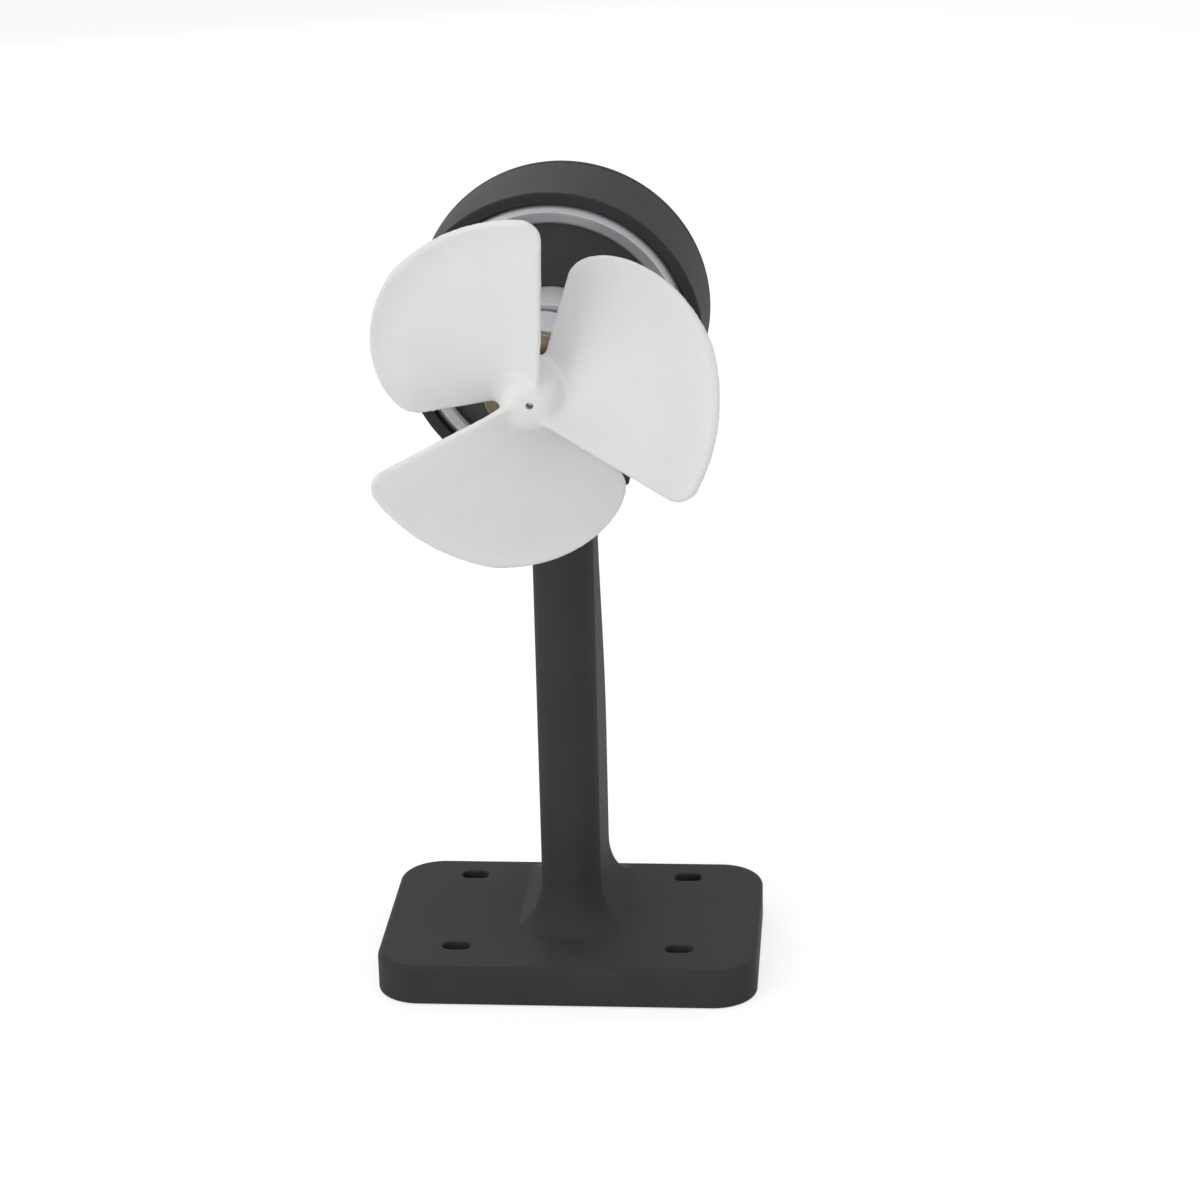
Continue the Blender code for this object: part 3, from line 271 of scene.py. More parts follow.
# Each slot's cutter goes straight through the plate and flares out at the top.
slots = bmesh.new()
for side in (-1, 1):
    for slot_y in (base_low.y + slot_inset_front, base_high.y - slot_inset_rear):
        slot = bmesh.new()
        half = slot_width / 2
        bmesh.ops.create_circle(slot, cap_ends=True, segments=32, radius=half)
        face = slot.faces[:][0]
        for rise, radius in ((base_thickness * 1.5 - slot_edge, half),
                             (2 * slot_edge, half + 2 * slot_edge)):
            face = bmesh.ops.extrude_discrete_faces(slot, faces=[face])["faces"][0]
            centre = Vector((0, 0, face.verts[0].co.z + rise))
            for vert in face.verts:
                vert.co = centre + Vector((vert.co.x, vert.co.y, 0)).normalized() * radius
        bmesh.ops.holes_fill(slot, edges=slot.edges)
        bmesh.ops.recalc_face_normals(slot, faces=slot.faces)
        for vert in slot.verts:
            if abs(vert.co.x) > same_place:
                vert.co.x += math.copysign((slot_length - slot_width) / 2, vert.co.x)
        bmesh.ops.translate(slot, verts=slot.verts, vec=(
            side * (base_width / 2 - slot_inset_x), slot_y, -base_thickness / 2))
        scratch = bpy.data.meshes.new("slot")
        slot.to_mesh(scratch)
        slot.free()
        slots.from_mesh(scratch)
slots = new_piece("slots", slots, black_coat)


def column_level(z, flare, back):
    """The column's outline at one height: a rounded nose, flat sides and small rear corners."""
    half = column_width / 2 + flare
    radius = column_width / 2 / math.sin(nose_angle)
    nose_steps, corner_steps = 20, 6
    points = []
    for step in range(-nose_steps, nose_steps + 1):
        angle = nose_angle * step / nose_steps
        points.append(((radius + flare) * math.sin(angle),
                       column_front + radius - (radius + flare) * math.cos(angle), z))
    points[0], points[-1] = (-half, points[0][1], z), (half, points[-1][1], z)
    for side in (1, -1):
        for step in range(corner_steps + 1):
            turn = step if side > 0 else corner_steps - step
            angle = math.pi / 2 * turn / corner_steps
            points.append((side * (half - rear_corner + rear_corner * math.cos(angle)),
                           back + flare - rear_corner + rear_corner * math.sin(angle), z))
    return points


def fillet(width, rise, steps=14):
    """(height, flare) pairs of a concave fillet, from the face that it starts on."""
    angles = [fillet_start + (math.pi / 2 - fillet_start) * step / steps
              for step in range(steps + 1)]
    return [(rise * (1 - math.cos(a)), width * (1 - math.sin(a))) for a in angles]


foot_top = base_thickness + foot_rise
neck_top = shaft_z - ring_radius - fit_gap - saddle_thickness
neck_foot = neck_top - neck_fillet
levels = [(base_thickness - base_edge, foot_fillet * (1 - math.sin(fillet_start)))]
levels += [(base_thickness + rise, flare) for rise, flare in fillet(foot_fillet, foot_rise)]
levels += [(foot_top + (neck_foot - foot_top) * step / straight_levels, 0.0)
           for step in range(1, straight_levels)]
levels += [(neck_top - drop, flare) for drop, flare in reversed(fillet(neck_fillet, neck_fillet))]
levels.append((shaft_z - ring_radius + saddle_thickness, levels[-1][1]))
column = bmesh.new()
section = None
for z, flare in levels:
    share = min(max((neck_foot - z) / (neck_foot - foot_top) / rib_swell_share, 0), 1)
    back = column_back + (rib_back - column_back) * (0.5 - 0.5 * math.cos(math.pi * share))
    outline = column_level(z, flare, back)
    if section is None:
        section = column.faces.new([column.verts.new(point) for point in outline])
        continue
    section = bmesh.ops.extrude_discrete_faces(column, faces=[section])["faces"][0]
    for vert, point in zip(section.verts, outline):
        vert.co = point
bmesh.ops.holes_fill(column, edges=column.edges)
bmesh.ops.recalc_face_normals(column, faces=column.faces)
column = new_piece("column", column, black_coat)

saddle = bmesh.new()
spin_section(saddle, band(ring_radius - saddle_thickness / 2,
                          ring_radius + fit_gap + saddle_thickness,
                          ring_low.y + saddle_margin, ring_high.y - saddle_margin),
             saddle_steps, 2 * saddle_angle, math.pi / 2 - saddle_angle)
bevel(saddle, crisp_edges(saddle, 50), saddle_edge, 4)
saddle = new_piece("saddle", saddle, black_coat)

bed_gap = 0.00005                                   # the ring lies snug in the saddle
ring_place = bmesh.new()
spin_section(ring_place, band(0, ring_radius + bed_gap, base_low.y, base_high.y), ring_steps)
ring_place = new_piece("ring_place", ring_place, black_coat)
pedestal = combined(pedestal, [(slots, "DIFFERENCE"), (column, "UNION"), (saddle, "UNION"),
                               (ring_place, "DIFFERENCE")])
even_shading(pedestal)
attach(pedestal, "stand")
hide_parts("pedestal")


# ---------------------------------------------------------------- ring housing
# The generator's body: a short aluminium ring, turned all over and powder coated dark grey.  Its
# mouth is bored to take the bezel, and two screws from below hold it in the saddle.
grey_coat = powder_coat("dark_grey_powder_coat", "#2D2D2F", "#343436", 0.66, 0.74)


def turned_piece(name, section, material, steps=160, edge=0.0003, sharp=50):
    """A round piece on the shaft line, its crisp corners broken by a small edge radius."""
    mesh = bmesh.new()
    spin_section(mesh, section, steps)
    if edge:
        bevel(mesh, crisp_edges(mesh, 25), edge, 3)
    piece = new_piece(name, mesh, material, sharp)
    even_shading(piece)
    return piece


def from_shaft(vert):
    """How far a vertex lies from the shaft line."""
    return math.hypot(vert.co.x, vert.co.z - shaft_z)


def outer_rim(mesh, y):
    """The edges round the outside of the ring at one place along the shaft line."""
    least_radius = ring_radius - 0.00001
    return [e for e in mesh.edges if all(
        abs(v.co.y - y) < same_place and from_shaft(v) > least_radius for v in e.verts)]


ring_edge, inner_edge = 0.0008, 0.0002
mouth_step, bore_step, shoulder_step = 0.0032, 0.0020, 0.0037
mouth_radius = ring_radius - mouth_step
bore_radius = mouth_radius - bore_step
shoulder_radius = bore_radius - shoulder_step
stator_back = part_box("stator_core")[1].y
plate_low, plate_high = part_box("front_plate")
mouth_floor = plate_high.y + fit_gap
shoulder_front = stator_back + fit_gap
housing = bmesh.new()
spin_section(housing, [
    (mouth_radius, ring_low.y), (ring_radius, ring_low.y), (ring_radius, ring_high.y),
    (shoulder_radius, ring_high.y), (shoulder_radius, shoulder_front),
    (bore_radius, shoulder_front), (bore_radius, mouth_floor), (mouth_radius, mouth_floor)],
    ring_steps)
bevel(housing, outer_rim(housing, ring_low.y), ring_edge, 6)
bevel(housing, crisp_edges(housing, 60), inner_edge, 2)
housing = new_piece("housing_ring", housing, grey_coat)
even_shading(housing)
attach(housing, "stand")
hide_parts("ring_housing")


# ---------------------------------------------------------------- front bezel
# A bright ring pressed into the mouth, turned from aluminium and left clear.  The tool leaves
# fine circles that blur its reflections along the ring.
def about_shaft(material):
    """Object coordinates with the shaft line through their origin."""
    place = add_node(material, "ShaderNodeTexCoord")
    return add_node(material, "ShaderNodeMapping", {
        "Vector": place.outputs["Object"], "Location": (0, 0, -shaft_z)}).outputs["Vector"]


def turned_metal(name, dark, light, roughness, pitch, relief, streaks, metallic=1.0):
    """Metal from a lathe: circles about the shaft, and faint streaks that follow them."""
    groove_depth = 0.00003
    material, shader = new_material(name, light, roughness, Metallic=metallic)
    apart = add_node(material, "ShaderNodeSeparateXYZ", {"Vector": about_shaft(material)})
    across = add_node(material, "ShaderNodeCombineXYZ", {
        "X": apart.outputs["X"], "Y": apart.outputs["Z"]})
    radius = add_node(material, "ShaderNodeVectorMath", {0: across.outputs["Vector"]},
                      operation="LENGTH")
    turn = add_node(material, "ShaderNodeCombineXYZ", {
        "X": radius.outputs["Value"], "Y": apart.outputs["Y"]})
    grooves = add_node(material, "ShaderNodeTexNoise", {
        "Vector": turn.outputs["Vector"], "Scale": 1 / pitch, "Detail": 3.0, "Roughness": 0.7})
    colour_between(material, shader, grooves.outputs["Fac"], 0.5 - streaks, dark,
                   0.5 + streaks, light)
    add_relief(material, shader, grooves.outputs["Fac"], relief, groove_depth)
    return material


clear_aluminium = turned_metal("turned_clear_aluminium", "#98989B", "#B0B0B3", 0.38,
                               pitch=0.0005, relief=0.25, streaks=0.25)
bezel_low, bezel_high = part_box("front_bezel")
bezel_outer = (bezel_high.x - bezel_low.x) / 2
bezel_width, bezel_slope, bezel_slope_width = 0.0055, 0.0013, 0.0022
bezel_inner = bezel_outer - bezel_width
bezel = turned_piece("bezel_ring", [
    (bezel_inner, bezel_high.y), (bezel_inner, bezel_low.y + bezel_slope / 2),
    (bezel_inner + bezel_slope / 2, bezel_low.y), (bezel_outer - bezel_slope_width, bezel_low.y),
    (bezel_outer, bezel_low.y + bezel_slope), (bezel_outer, bezel_high.y)],
    clear_aluminium, ring_steps, edge=0.00025)
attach(bezel, "stand")
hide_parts("front_bezel")

# ---------------------------------------------------------------- front plate
# A flat steel disc behind the bezel, coated black.  It closes the ring's mouth and clamps the
# nose's flange with three screws.
plate_coat = powder_coat("black_coated_plate", "#3B3B3E", "#434346", 0.46, 0.56)
barrel_radius = 0.0155
plate_screw_margin, plate_screw_radius = 0.0045, 0.00125
plate_screw_ring = barrel_radius + plate_screw_margin
through = 0.001                                     # how far a hole's cutter goes past each face
front_disc = turned_piece("front_disc", band(barrel_radius + fit_gap, bezel_outer,
                                             plate_low.y, plate_high.y), plate_coat)
front_disc.modifiers.clear()


def hole_tools(name, radius, ring, angles, front, back, material):
    """Round cutters along Y, spaced about the shaft line."""
    mesh = bmesh.new()
    for angle in angles:
        place = (Matrix.Translation((ring * math.cos(angle), (front + back) / 2,
                                     shaft_z + ring * math.sin(angle)))
                 @ Matrix.Rotation(math.pi / 2, 4, "X"))
        bmesh.ops.create_cone(mesh, cap_ends=True, segments=32, radius1=radius, radius2=radius,
                              depth=back - front, matrix=place)
    return new_piece(name, mesh, material)


plate_screw_angles = [math.radians(30) + math.tau * i / 3 for i in range(3)]
plate_holes = hole_tools("plate_holes", plate_screw_radius + fit_gap, plate_screw_ring,
                         plate_screw_angles, plate_low.y - through, plate_high.y + through,
                         plate_coat)
front_disc = combined(front_disc, [(plate_holes, "DIFFERENCE")])
even_shading(front_disc)
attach(front_disc, "stand")
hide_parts("front_plate")

# ---------------------------------------------------------------- bearing nose
# A long aluminium nose, turned and left matte, that carries the front bearing.  Its barrel shows
# behind a rubber ring; the rest is under the sleeve.
nose_aluminium = turned_metal("turned_matte_aluminium", "#DAD9DA", "#E6E5E6", 0.60,
                              pitch=0.0007, relief=0.2, streaks=0.4, metallic=0.4)
nose_low, nose_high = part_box("bearing_nose")
cap_low, cap_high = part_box("nose_cap")
sleeve_low, sleeve_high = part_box("nose_sleeve")
groove_low, groove_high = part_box("groove_ring")
flange_radius = (nose_high.x - nose_low.x) / 2
spigot_radius = 0.0129
tunnel_radius = 0.0060
bearing_bore = 0.0113
bearing_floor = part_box("retaining_ring")[0].y
barrel_front = groove_high.y + fit_gap
nose = turned_piece("nose_barrel", [
    (tunnel_radius, bearing_floor), (bearing_bore, bearing_floor), (bearing_bore, nose_low.y),
    (spigot_radius, nose_low.y), (spigot_radius, barrel_front), (barrel_radius, barrel_front),
    (barrel_radius, mouth_floor), (flange_radius, mouth_floor),
    (flange_radius, nose_high.y), (tunnel_radius, nose_high.y)],
    nose_aluminium, 128, edge=0.00015)
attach(nose, "stand")
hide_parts("bearing_nose")

# ---------------------------------------------------------------- groove ring
# A ring of grey-black rubber in the groove between barrel and sleeve, moulded, with two soft
# beads that press on both.
ring_rubber, rubber_shader = new_material("moulded_grey_black_rubber", "#6C6C6E", 0.65)
mottled(ring_rubber, rubber_shader, "#666668", "#727274", 0.004, 0.6, 0.72)
groove_radius = (groove_high.x - groove_low.x) / 2
bead_depth = 0.0004
bead_steps = 24
groove_span = groove_high.y - groove_low.y
beads = [(groove_radius - bead_depth * abs(math.cos(math.tau * step / bead_steps)),
          groove_low.y + groove_span * step / bead_steps) for step in range(bead_steps + 1)]
groove_ring = turned_piece("rubber_ring", [(spigot_radius + fit_gap, groove_low.y)] + beads
                           + [(spigot_radius + fit_gap, groove_high.y)],
                           ring_rubber, 96, edge=0)
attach(groove_ring, "stand")
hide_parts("groove_ring")

# ---------------------------------------------------------------- nose sleeve
# A bluish white sleeve of moulded acetal over the nose, smooth and slightly glossy.
acetal, acetal_shader = new_material("moulded_bluish_white_acetal", "#DADCE4", 0.42)
mottled(acetal, acetal_shader, "#D5D7DF", "#DEE0E7", 0.012, 0.38, 0.48)
sleeve = turned_piece("white_sleeve", band(spigot_radius + fit_gap, barrel_radius,
                                           sleeve_low.y, sleeve_high.y),
                      acetal, 128, edge=0.0005)
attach(sleeve, "stand")
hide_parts("nose_sleeve")

# ---------------------------------------------------------------- nose cap
# A dull brass cap that holds the front bearing in: turned, with a lip behind it and a bore that
# clears the shaft.
dull_brass = turned_metal("dull_turned_brass", "#857868", "#A08F78", 0.42,
                          pitch=0.0006, relief=0.3, streaks=0.3)
cap_radius = (cap_high.x - cap_low.x) / 2
shaft_radius = 0.0040
bearing_radius = 0.0110
cap_lip, cap_lip_width = 0.0008, 0.0013
lip_inner = bearing_radius - cap_lip_width
cap_back = cap_high.y - cap_lip
cap = turned_piece("brass_cap", [
    (shaft_radius + 2 * fit_gap, cap_low.y), (cap_radius, cap_low.y), (cap_radius, cap_back),
    (bearing_radius, cap_back), (bearing_radius, cap_high.y), (lip_inner, cap_high.y),
    (lip_inner, cap_back), (shaft_radius + 2 * fit_gap, cap_back)], dull_brass, 128)
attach(cap, "stand")
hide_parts("nose_cap")

# ---------------------------------------------------------------- rear cover
# An aluminium cover turned with a seat for the rear bearing, powder coated with the ring.  Four
# screws hold it, and the output lead leaves through its grommet.
cover_low, cover_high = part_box("rear_cover")
cover_front = ring_high.y + fit_gap
boss_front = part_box("rear_bearing_outer_ring")[0].y - fit_gap
boss_wall, spigot_wall = 0.0024, 0.0018
boss_radius = bearing_bore + boss_wall
spigot_outer = shoulder_radius - fit_gap
spigot_inner = spigot_outer - spigot_wall
cover_screw_ring = (shoulder_radius + ring_radius) / 2
cover_screw_radius = 0.0015
grommet_low, grommet_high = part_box("output_grommet")
grommet_z = (grommet_low.z + grommet_high.z) / 2
grommet_neck = 0.0045
cover = bmesh.new()
spin_section(cover, [
    (0, cover_front), (bearing_bore, cover_front), (bearing_bore, boss_front),
    (boss_radius, boss_front), (boss_radius, cover_front), (spigot_inner, cover_front),
    (spigot_inner, cover_low.y), (spigot_outer, cover_low.y), (spigot_outer, cover_front),
    (ring_radius, cover_front), (ring_radius, cover_high.y), (0, cover_high.y)], ring_steps)
bevel(cover, outer_rim(cover, cover_high.y), ring_edge, 6)
cover = new_piece("back_cover", cover, grey_coat)
cover_screw_angles = [math.tau * (i + 0.5) / 4 for i in range(4)]
screw_holes = hole_tools("cover_holes", cover_screw_radius + fit_gap, cover_screw_ring,
                         cover_screw_angles, cover_front - through, cover_high.y + through,
                         grey_coat)
lead_hole = hole_tools("grommet_hole", grommet_neck + fit_gap, shaft_z - grommet_z,
                       [-math.pi / 2], cover_front - through, cover_high.y + through, grey_coat)
cover = combined(cover, [(screw_holes, "DIFFERENCE"), (lead_hole, "DIFFERENCE")])
even_shading(cover)
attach(cover, "stand")
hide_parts("rear_cover")

# ---------------------------------------------------------------- output grommet
# A black rubber grommet snapped into the rear cover: two rounded lips on a neck, with the bore
# for the generator's lead.
grommet_rubber, grommet_shader = new_material("moulded_black_rubber", "#28282A", 0.6)
mottled(grommet_rubber, grommet_shader, "#242426", "#303032", 0.003, 0.55, 0.7)
lip_radius = (grommet_high.x - grommet_low.x) / 2
grommet_bore = 0.0033
lip_thickness = 0.0012
lip_edge = 0.0004
grommet_mesh = bmesh.new()
spin_section(grommet_mesh, [
    (grommet_bore, grommet_low.y), (lip_radius, grommet_low.y),
    (lip_radius, grommet_low.y + lip_thickness), (grommet_neck, grommet_low.y + lip_thickness),
    (grommet_neck, grommet_high.y - lip_thickness), (lip_radius, grommet_high.y - lip_thickness),
    (lip_radius, grommet_high.y), (grommet_bore, grommet_high.y)], 64)
bmesh.ops.translate(grommet_mesh, verts=grommet_mesh.verts, vec=(0, 0, grommet_z - shaft_z))
bevel(grommet_mesh, crisp_edges(grommet_mesh, 60), lip_edge, 4)
grommet = new_piece("rubber_grommet", grommet_mesh, grommet_rubber, 60)
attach(grommet, "stand")
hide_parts("output_grommet")


# ---------------------------------------------------------------- screws
# Blackened steel screws with pan heads and hexagon sockets: three in the front plate, four in the
# rear cover and two up through the saddle.
black_oxide, oxide_shader = new_material("blackened_steel", "#3C3C3F", 0.42, Metallic=0.9)
mottled(black_oxide, oxide_shader, "#38383B", "#46464A", 0.0015, 0.36, 0.5)


def pan_head_screw(name, shank, head, height, length, seat, direction):
    """One screw: its head rests at `seat`, and its shank runs along `direction`."""
    mesh = bmesh.new()
    crown_steps = 6
    side = 0.45                                     # of the head's height, below its crown
    flat = head * 0.62
    tip_radius, tip_length = shank * 0.7, shank * 0.3
    crown = [(head * math.cos(a), -height * (side + (1 - side) * math.sin(a)))
             for a in [math.pi / 2 * step / crown_steps for step in range(crown_steps)]]
    section = [(0, -height), (flat, -height)]
    section += [(radius, y) for radius, y in reversed(crown) if radius > flat]
    section += [(head, 0), (shank, 0), (shank, length - tip_length),
                (tip_radius, length), (0, length)]
    spin_section(mesh, section, 40)
    bmesh.ops.translate(mesh, verts=mesh.verts, vec=(0, 0, -shaft_z))
    piece = new_piece(name, mesh, black_oxide, 40)
    socket_radius, socket_depth = head * 0.5, height * 0.55
    socket = bmesh.new()
    bmesh.ops.create_cone(socket, cap_ends=True, segments=6, radius1=socket_radius,
                          radius2=socket_radius, depth=2 * socket_depth,
                          matrix=Matrix.Translation((0, -height, 0))
                          @ Matrix.Rotation(math.pi / 2, 4, "X"))
    piece = combined(piece, [(new_piece("socket", socket, black_oxide), "DIFFERENCE")], 30)
    turn = Vector((0, 1, 0)).rotation_difference(direction).to_matrix().to_4x4()
    piece.data.transform(Matrix.Translation(seat) @ turn)
    return piece


def on_ring(radius, angle, y):
    """A point about the shaft line."""
    return Vector((radius * math.cos(angle), y, shaft_z + radius * math.sin(angle)))


plate_head, plate_head_height = 0.0023, 0.0015
large_head, large_head_height = 0.0028, 0.0017
for number, angle in enumerate(plate_screw_angles, 1):
    node = f"front_plate_screw_{number}"
    seat = on_ring(plate_screw_ring, angle, plate_low.y - fit_gap)
    screw = pan_head_screw(f"plate_screw_{number}", plate_screw_radius, plate_head,
                           plate_head_height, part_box(node)[1].y - seat.y, seat,
                           Vector((0, 1, 0)))
    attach(screw, "stand")
    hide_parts(node)
for number, angle in enumerate(cover_screw_angles, 1):
    node = f"rear_cover_screw_{number}"
    seat = on_ring(cover_screw_ring, angle, cover_high.y + fit_gap)
    screw = pan_head_screw(f"cover_screw_{number}", cover_screw_radius, large_head,
                           large_head_height, seat.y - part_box(node)[0].y, seat,
                           Vector((0, -1, 0)))
    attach(screw, "stand")
    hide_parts(node)
saddle_screw_angle = math.radians(19)
saddle_screw_radius, saddle_screw_bite = 0.0015, 0.0034     # the bite is what holds in the ring
spot_face_depth = 0.0006
saddle_reach = ring_radius + fit_gap + saddle_thickness - spot_face_depth
for number, side in enumerate((-1, 1), 1):
    inward = Vector((-side * math.sin(saddle_screw_angle), 0, math.cos(saddle_screw_angle)))
    seat = Vector((0, (ring_low.y + ring_high.y) / 2, shaft_z)) - inward * (saddle_reach + fit_gap)
    length = saddle_thickness - spot_face_depth + 2 * fit_gap + saddle_screw_bite
    screw = pan_head_screw(f"cradle_screw_{number}", saddle_screw_radius, large_head,
                           large_head_height, length, seat, inward)
    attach(screw, "stand")
    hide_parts(f"saddle_screw_{number}")

# ---------------------------------------------------------------- propeller
# One nylon moulding, satin white and a little translucent: three broad leaves, twisted about the
# hub, that run into it with soft fillets.  A brass insert is moulded into its back.
nylon, nylon_shader = new_material(
    "moulded_white_nylon", "#DCDDDC", 0.42, Subsurface_Weight=0.12,
    Subsurface_Radius=(0.0016, 0.0013, 0.0011), Subsurface_Scale=1.0)
mottled(nylon, nylon_shader, "#DBDCDB", "#E1E2E1", 0.03, 0.38, 0.46)
hub_low, hub_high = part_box("hub_insert")
leaf_front, hub_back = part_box("propeller")[0].y, hub_high.y
hub_setback = 0.0008                                # the leaves' ridges stand a little proud of it
hub_front = leaf_front + hub_setback
prop_radius = 0.04995
insert_radius = (hub_high.x - hub_low.x) / 2
hub_rear_wall, hub_shoulder_wall = 0.0067, 0.0051
hub_rear_radius = insert_radius + fit_gap + hub_rear_wall
hub_shoulder_radius = insert_radius + fit_gap + hub_shoulder_wall
hub_rounding, hub_rounding_depth = 0.0070, 0.0065
eye_radius = 0.00105
leaf_start = 0.0030                                 # radius, just outside the eye
leaf_pitch = 0.0112                                 # axial travel per radian
leaf_back_margin = 0.0029                           # from a leaf's rear edge to the hub's back
leaf_root_depth = hub_back - leaf_front - leaf_back_margin
leaf_tip_depth = 0.0225
depth_blend = 0.0040                                # how softly the pitch gives way to those depths
leaf_thickness = 0.0018
root_thickness = 0.0034                             # where a leaf runs into the hub
root_reach = 0.0170                                 # the radius out to which it is thicker
leading_line, leading_offset, leading_round = math.radians(-32), 0.0028, 0.0050
trailing_full, trailing_tip = math.radians(73), math.radians(17)
trailing_start = prop_radius * 0.65                 # the edge is radial out to here


def leading_angle(radius):
    """A leaf's straight leading edge, rounded at the tip."""
    corner = max(radius - (prop_radius - leading_round), 0)
    drawn_in = leading_round - math.sqrt(max(leading_round ** 2 - corner ** 2, 0))
    return leading_line - math.asin(leading_offset / radius) + drawn_in / radius


def trailing_angle(radius):
    """A leaf's trailing edge, which curves in towards the tip and meets it smoothly."""
    share = max(radius - trailing_start, 0) / (prop_radius - trailing_start)
    curve = (share ** 2 + 1 - math.sqrt(max(1 - share ** 2, 0))) / 2
    return trailing_full + (trailing_tip - trailing_full) * curve


def soft_minimum(first, second, blend):
    """The smaller of two lengths, with the change from one to the other rounded off."""
    share = min(max(0.5 + 0.5 * (second - first) / blend, 0), 1)
    return second + (first - second) * share - blend * share * (1 - share)


hub_mesh = bmesh.new()
hub_arc = [math.pi / 2 * step / 10 for step in range(11)]
spin_section(hub_mesh, [(0, hub_front)] + [
    (hub_shoulder_radius - hub_rounding * (1 - math.sin(a)),
     hub_front + hub_rounding_depth * (1 - math.cos(a))) for a in hub_arc] + [
    (hub_rear_radius, hub_back), (0, hub_back)], 64)
propeller = new_piece("propeller_moulding", hub_mesh, nylon)
for number in range(3):
    leaf = bmesh.new()
    root_weight = leaf.verts.layers.deform.new()
    bmesh.ops.create_grid(leaf, x_segments=90, y_segments=70, size=0.5)
    for vert in leaf.verts:
        across, out = vert.co.x + 0.5, math.sin((vert.co.y + 0.5) * math.pi / 2)
        radius = leaf_start + (prop_radius - leaf_start) * out
        first, last = leading_angle(radius), trailing_angle(radius)
        deepest = leaf_root_depth + (leaf_tip_depth - leaf_root_depth) * out
        depth = soft_minimum(leaf_pitch * (last - first), deepest, depth_blend)
        angle = first + (last - first) * across + math.tau * number / 3
        near_root = max(root_reach - radius, 0) / (root_reach - leaf_start)
        vert[root_weight][0] = near_root ** 2
        half_wall = (leaf_thickness + (root_thickness - leaf_thickness) * near_root ** 2) / 2
        vert.co = on_ring(radius, angle, leaf_front + half_wall + depth * across)
    bmesh.ops.recalc_face_normals(leaf, faces=leaf.faces)
    leaf = new_piece(f"leaf_{number}", leaf, nylon)
    leaf.vertex_groups.new(name="root")
    wall = leaf.modifiers.new("wall", "SOLIDIFY")
    wall.thickness = root_thickness
    wall.vertex_group = "root"
    wall.thickness_vertex_group = leaf_thickness / root_thickness
    wall.offset = 0
    propeller = combined(propeller, [(leaf, "UNION")])
remesh = propeller.modifiers.new("even_skin", "REMESH")
remesh.mode = "VOXEL"
remesh.voxel_size = 0.00045
propeller = combined(propeller, [])
propeller.modifiers.clear()
moulding = bmesh.new()
moulding.from_mesh(propeller.data)
# The skin is smoothed all over, and more towards the hub, where the roots run together.
for reach, rounds in ((prop_radius * 1.1, 7), (0.020, 4), (0.017, 7), (0.014, 11)):
    near = [v for v in moulding.verts if from_shaft(v) < reach]
    for _ in range(rounds):
        bmesh.ops.smooth_vert(moulding, verts=near, factor=0.5, use_axis_x=True,
                              use_axis_y=True, use_axis_z=True)
moulding.to_mesh(propeller.data)
moulding.free()
insert_place = bmesh.new()
spin_section(insert_place, band(0, insert_radius + fit_gap, hub_low.y - fit_gap,
                                hub_back + 2 * through), 48)
insert_place = new_piece("insert_place", insert_place, nylon)
eye = hole_tools("eye", eye_radius, 0, [0], leaf_front - 2 * through, hub_low.y, nylon)
propeller = combined(propeller, [(eye, "DIFFERENCE"), (insert_place, "DIFFERENCE")], 40)
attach(propeller, "rotor")
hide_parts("propeller")

# ---------------------------------------------------------------- hub insert and shaft
# The insert is a brass bush; the shaft is ground steel, stepped down to a thin tip that is
# pressed into it.
insert_bore, shaft_tip_radius, fine_edge = 0.0018, 0.0015, 0.0002
insert = turned_piece("brass_insert", band(insert_bore, insert_radius, hub_low.y, hub_high.y),
                      dull_brass, 48, fine_edge)
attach(insert, "rotor")
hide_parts("hub_insert")
ground_steel = turned_metal("ground_steel", "#A9ABB0", "#BFC1C5", 0.24,
                            pitch=0.0004, relief=0.15, streaks=0.3)
shaft_low, shaft_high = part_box("shaft")
shaft = turned_piece("ground_shaft", [
    (0, shaft_low.y), (shaft_tip_radius, shaft_low.y), (shaft_tip_radius, hub_back + fit_gap),
    (shaft_radius, hub_back + fit_gap), (shaft_radius, shaft_high.y), (0, shaft_high.y)],
    ground_steel, 64, fine_edge)
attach(shaft, "rotor")
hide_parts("shaft")


# ---------------------------------------------------------------- generator's inner pieces
# They stay as the construction has them.  The core is a stack of half-millimetre steel sheets, the
# coils are enamelled copper wire, the magnets are nickel plated, and the bearings are ground.
def striped(name, dark, light, roughness, pitch, rings, **sockets):
    """Layers along the shaft, or turns that lie further and further out from it."""
    wave_length = math.tau / 20                     # of the wave texture at a scale of 1
    material, shader = new_material(name, light, roughness, **sockets)
    stripes = add_node(material, "ShaderNodeTexWave", {
        "Vector": about_shaft(material), "Scale": wave_length / pitch},
        wave_type="RINGS" if rings else "BANDS")
    if rings:
        stripes.rings_direction = "Y"
    else:
        stripes.bands_direction = "Y"
    colour_between(material, shader, stripes.outputs["Fac"], 0.1, dark, 0.6, light)
    add_relief(material, shader, stripes.outputs["Fac"], strength=0.5, depth=0.0001)
    return material


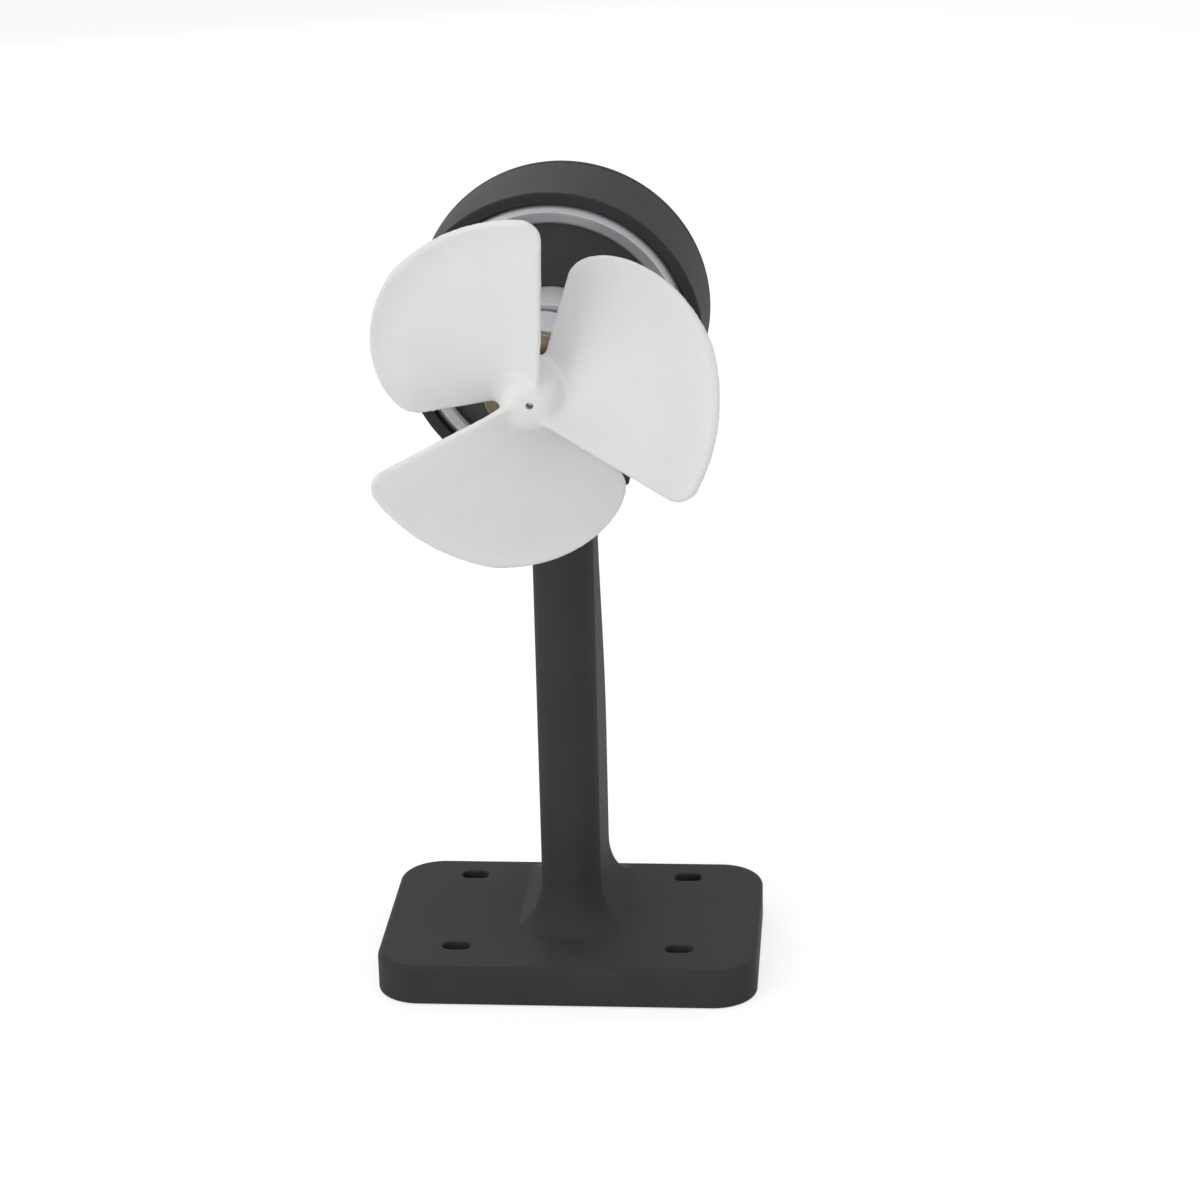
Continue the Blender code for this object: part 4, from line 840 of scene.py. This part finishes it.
sheet_steel = striped("stacked_sheet_steel", "#4E5054", "#7C7F84", 0.5,
                      pitch=0.0005, rings=False, Metallic=1.0)
wire = striped("enamelled_copper_wire", "#6E3418", "#B4683C", 0.35,
               pitch=0.0006, rings=True, Coat_Weight=0.5)
nickel, nickel_shader = new_material("nickel_plate", "#BEBAB0", 0.25, Metallic=1.0)
mottled(nickel, nickel_shader, "#B6B2A8", "#C2BEB4", 0.004, 0.2, 0.3)
inner_finish = {"stator_core": sheet_steel, "rotor_core": sheet_steel,
                "retaining_ring": black_oxide}
inner_finish.update({f"coil_{number}": wire for number in range(1, 10)})
inner_finish.update({f"magnet_{number}": nickel for number in range(1, 9)})
for end in ("front", "rear"):
    for part in ("bearing_outer_ring", "bearing_inner_ring", "ball_cage"):
        inner_finish[f"{end}_{part}"] = ground_steel
for node, material in inner_finish.items():
    nodes[node].material_slots[0].material = material

# ---------------------------------------------------------------- floor, lights and world
# A white studio: a floor that is nearly as bright as the walls and keeps a faint shadow, and soft
# lights in front, behind, overhead and on both sides that only model the shape a little.
def background_ray(material):
    """1 where a ray shows the background: to the camera, in a gloss or through something clear."""
    path = add_node(material, "ShaderNodeLightPath")
    shown = path.outputs["Is Camera Ray"]
    for other in ("Is Glossy Ray", "Is Transmission Ray"):
        shown = add_node(material, "ShaderNodeMath", {0: shown, 1: path.outputs[other]},
                         operation="MAXIMUM").outputs["Value"]
    return shown


def shown_and_unseen(material, shown_value, unseen_value):
    """One value for the rays that show the background, and another for the rest."""
    return add_node(material, "ShaderNodeMath", {
        0: background_ray(material), 1: shown_value - unseen_value, 2: unseen_value},
        operation="MULTIPLY_ADD").outputs["Value"]


floor_drop = 0.0002                                 # keeps it clear of the plate's underside
floor_half_width = 8
floor_glow = 0.64                                   # its own light, where it shows
floor_shown, floor_unseen = 0.54, 0.80              # how white it is, where it shows and elsewhere
walls_shown, walls_unseen = 1.0, 0.54               # how brightly the walls shine, likewise
floor_mesh = bmesh.new()
bmesh.ops.create_grid(floor_mesh, x_segments=1, y_segments=1, size=floor_half_width,
                      matrix=Matrix.Translation((0, 0, -floor_drop)))
floor_white = bpy.data.materials.new("white_studio_floor")
floor_white.use_nodes = True
floor_nodes = floor_white.node_tree.nodes
floor_nodes.remove(floor_nodes["Principled BSDF"])
glow = add_node(floor_white, "ShaderNodeEmission", {
    "Color": (1, 1, 1, 1), "Strength": shown_and_unseen(floor_white, floor_glow, 0.0)})
matte = add_node(floor_white, "ShaderNodeBsdfDiffuse", {
    "Color": shown_and_unseen(floor_white, floor_shown, floor_unseen)})
both = add_node(floor_white, "ShaderNodeAddShader", {
    0: glow.outputs["Emission"], 1: matte.outputs["BSDF"]})
drive(floor_white, floor_nodes["Material Output"].inputs["Surface"], both.outputs["Shader"])
floor = new_piece("floor", floor_mesh, floor_white)


def soft_light(name, place, width, height, power):
    """A rectangular soft light that faces the middle of the turbine."""
    data = bpy.data.lights.new(name, "AREA")
    data.shape = "RECTANGLE"
    data.size, data.size_y, data.energy = width, height, power
    light = bpy.data.objects.new(name, data)
    light.location = place
    aim = Vector((0, 0, shaft_z / 2)) - Vector(place)
    light.rotation_euler = aim.to_track_quat("-Z", "Y").to_euler()
    bpy.context.collection.objects.link(light)


soft_light("left_light", (-1.0, -0.9, 0.6), width=0.9, height=1.1, power=6)
soft_light("right_light", (1.2, 0.1, 0.6), width=0.6, height=1.0, power=0.8)
soft_light("front_light", (0.3, -1.6, 0.25), width=1.0, height=0.8, power=4)
soft_light("rear_light", (-0.5, 1.4, 0.6), width=1.0, height=0.8, power=3)
soft_light("top_light", (0.1, -0.3, 1.5), width=1.2, height=1.0, power=3.5)
world = bpy.data.worlds.new("white_studio")
world.use_nodes = True
walls = world.node_tree.nodes["Background"]
walls.inputs["Color"].default_value = (1, 1, 1, 1)
drive(world, walls.inputs["Strength"], shown_and_unseen(world, walls_shown, walls_unseen))
bpy.context.scene.world = world
bpy.context.scene.view_settings.view_transform = "Standard"
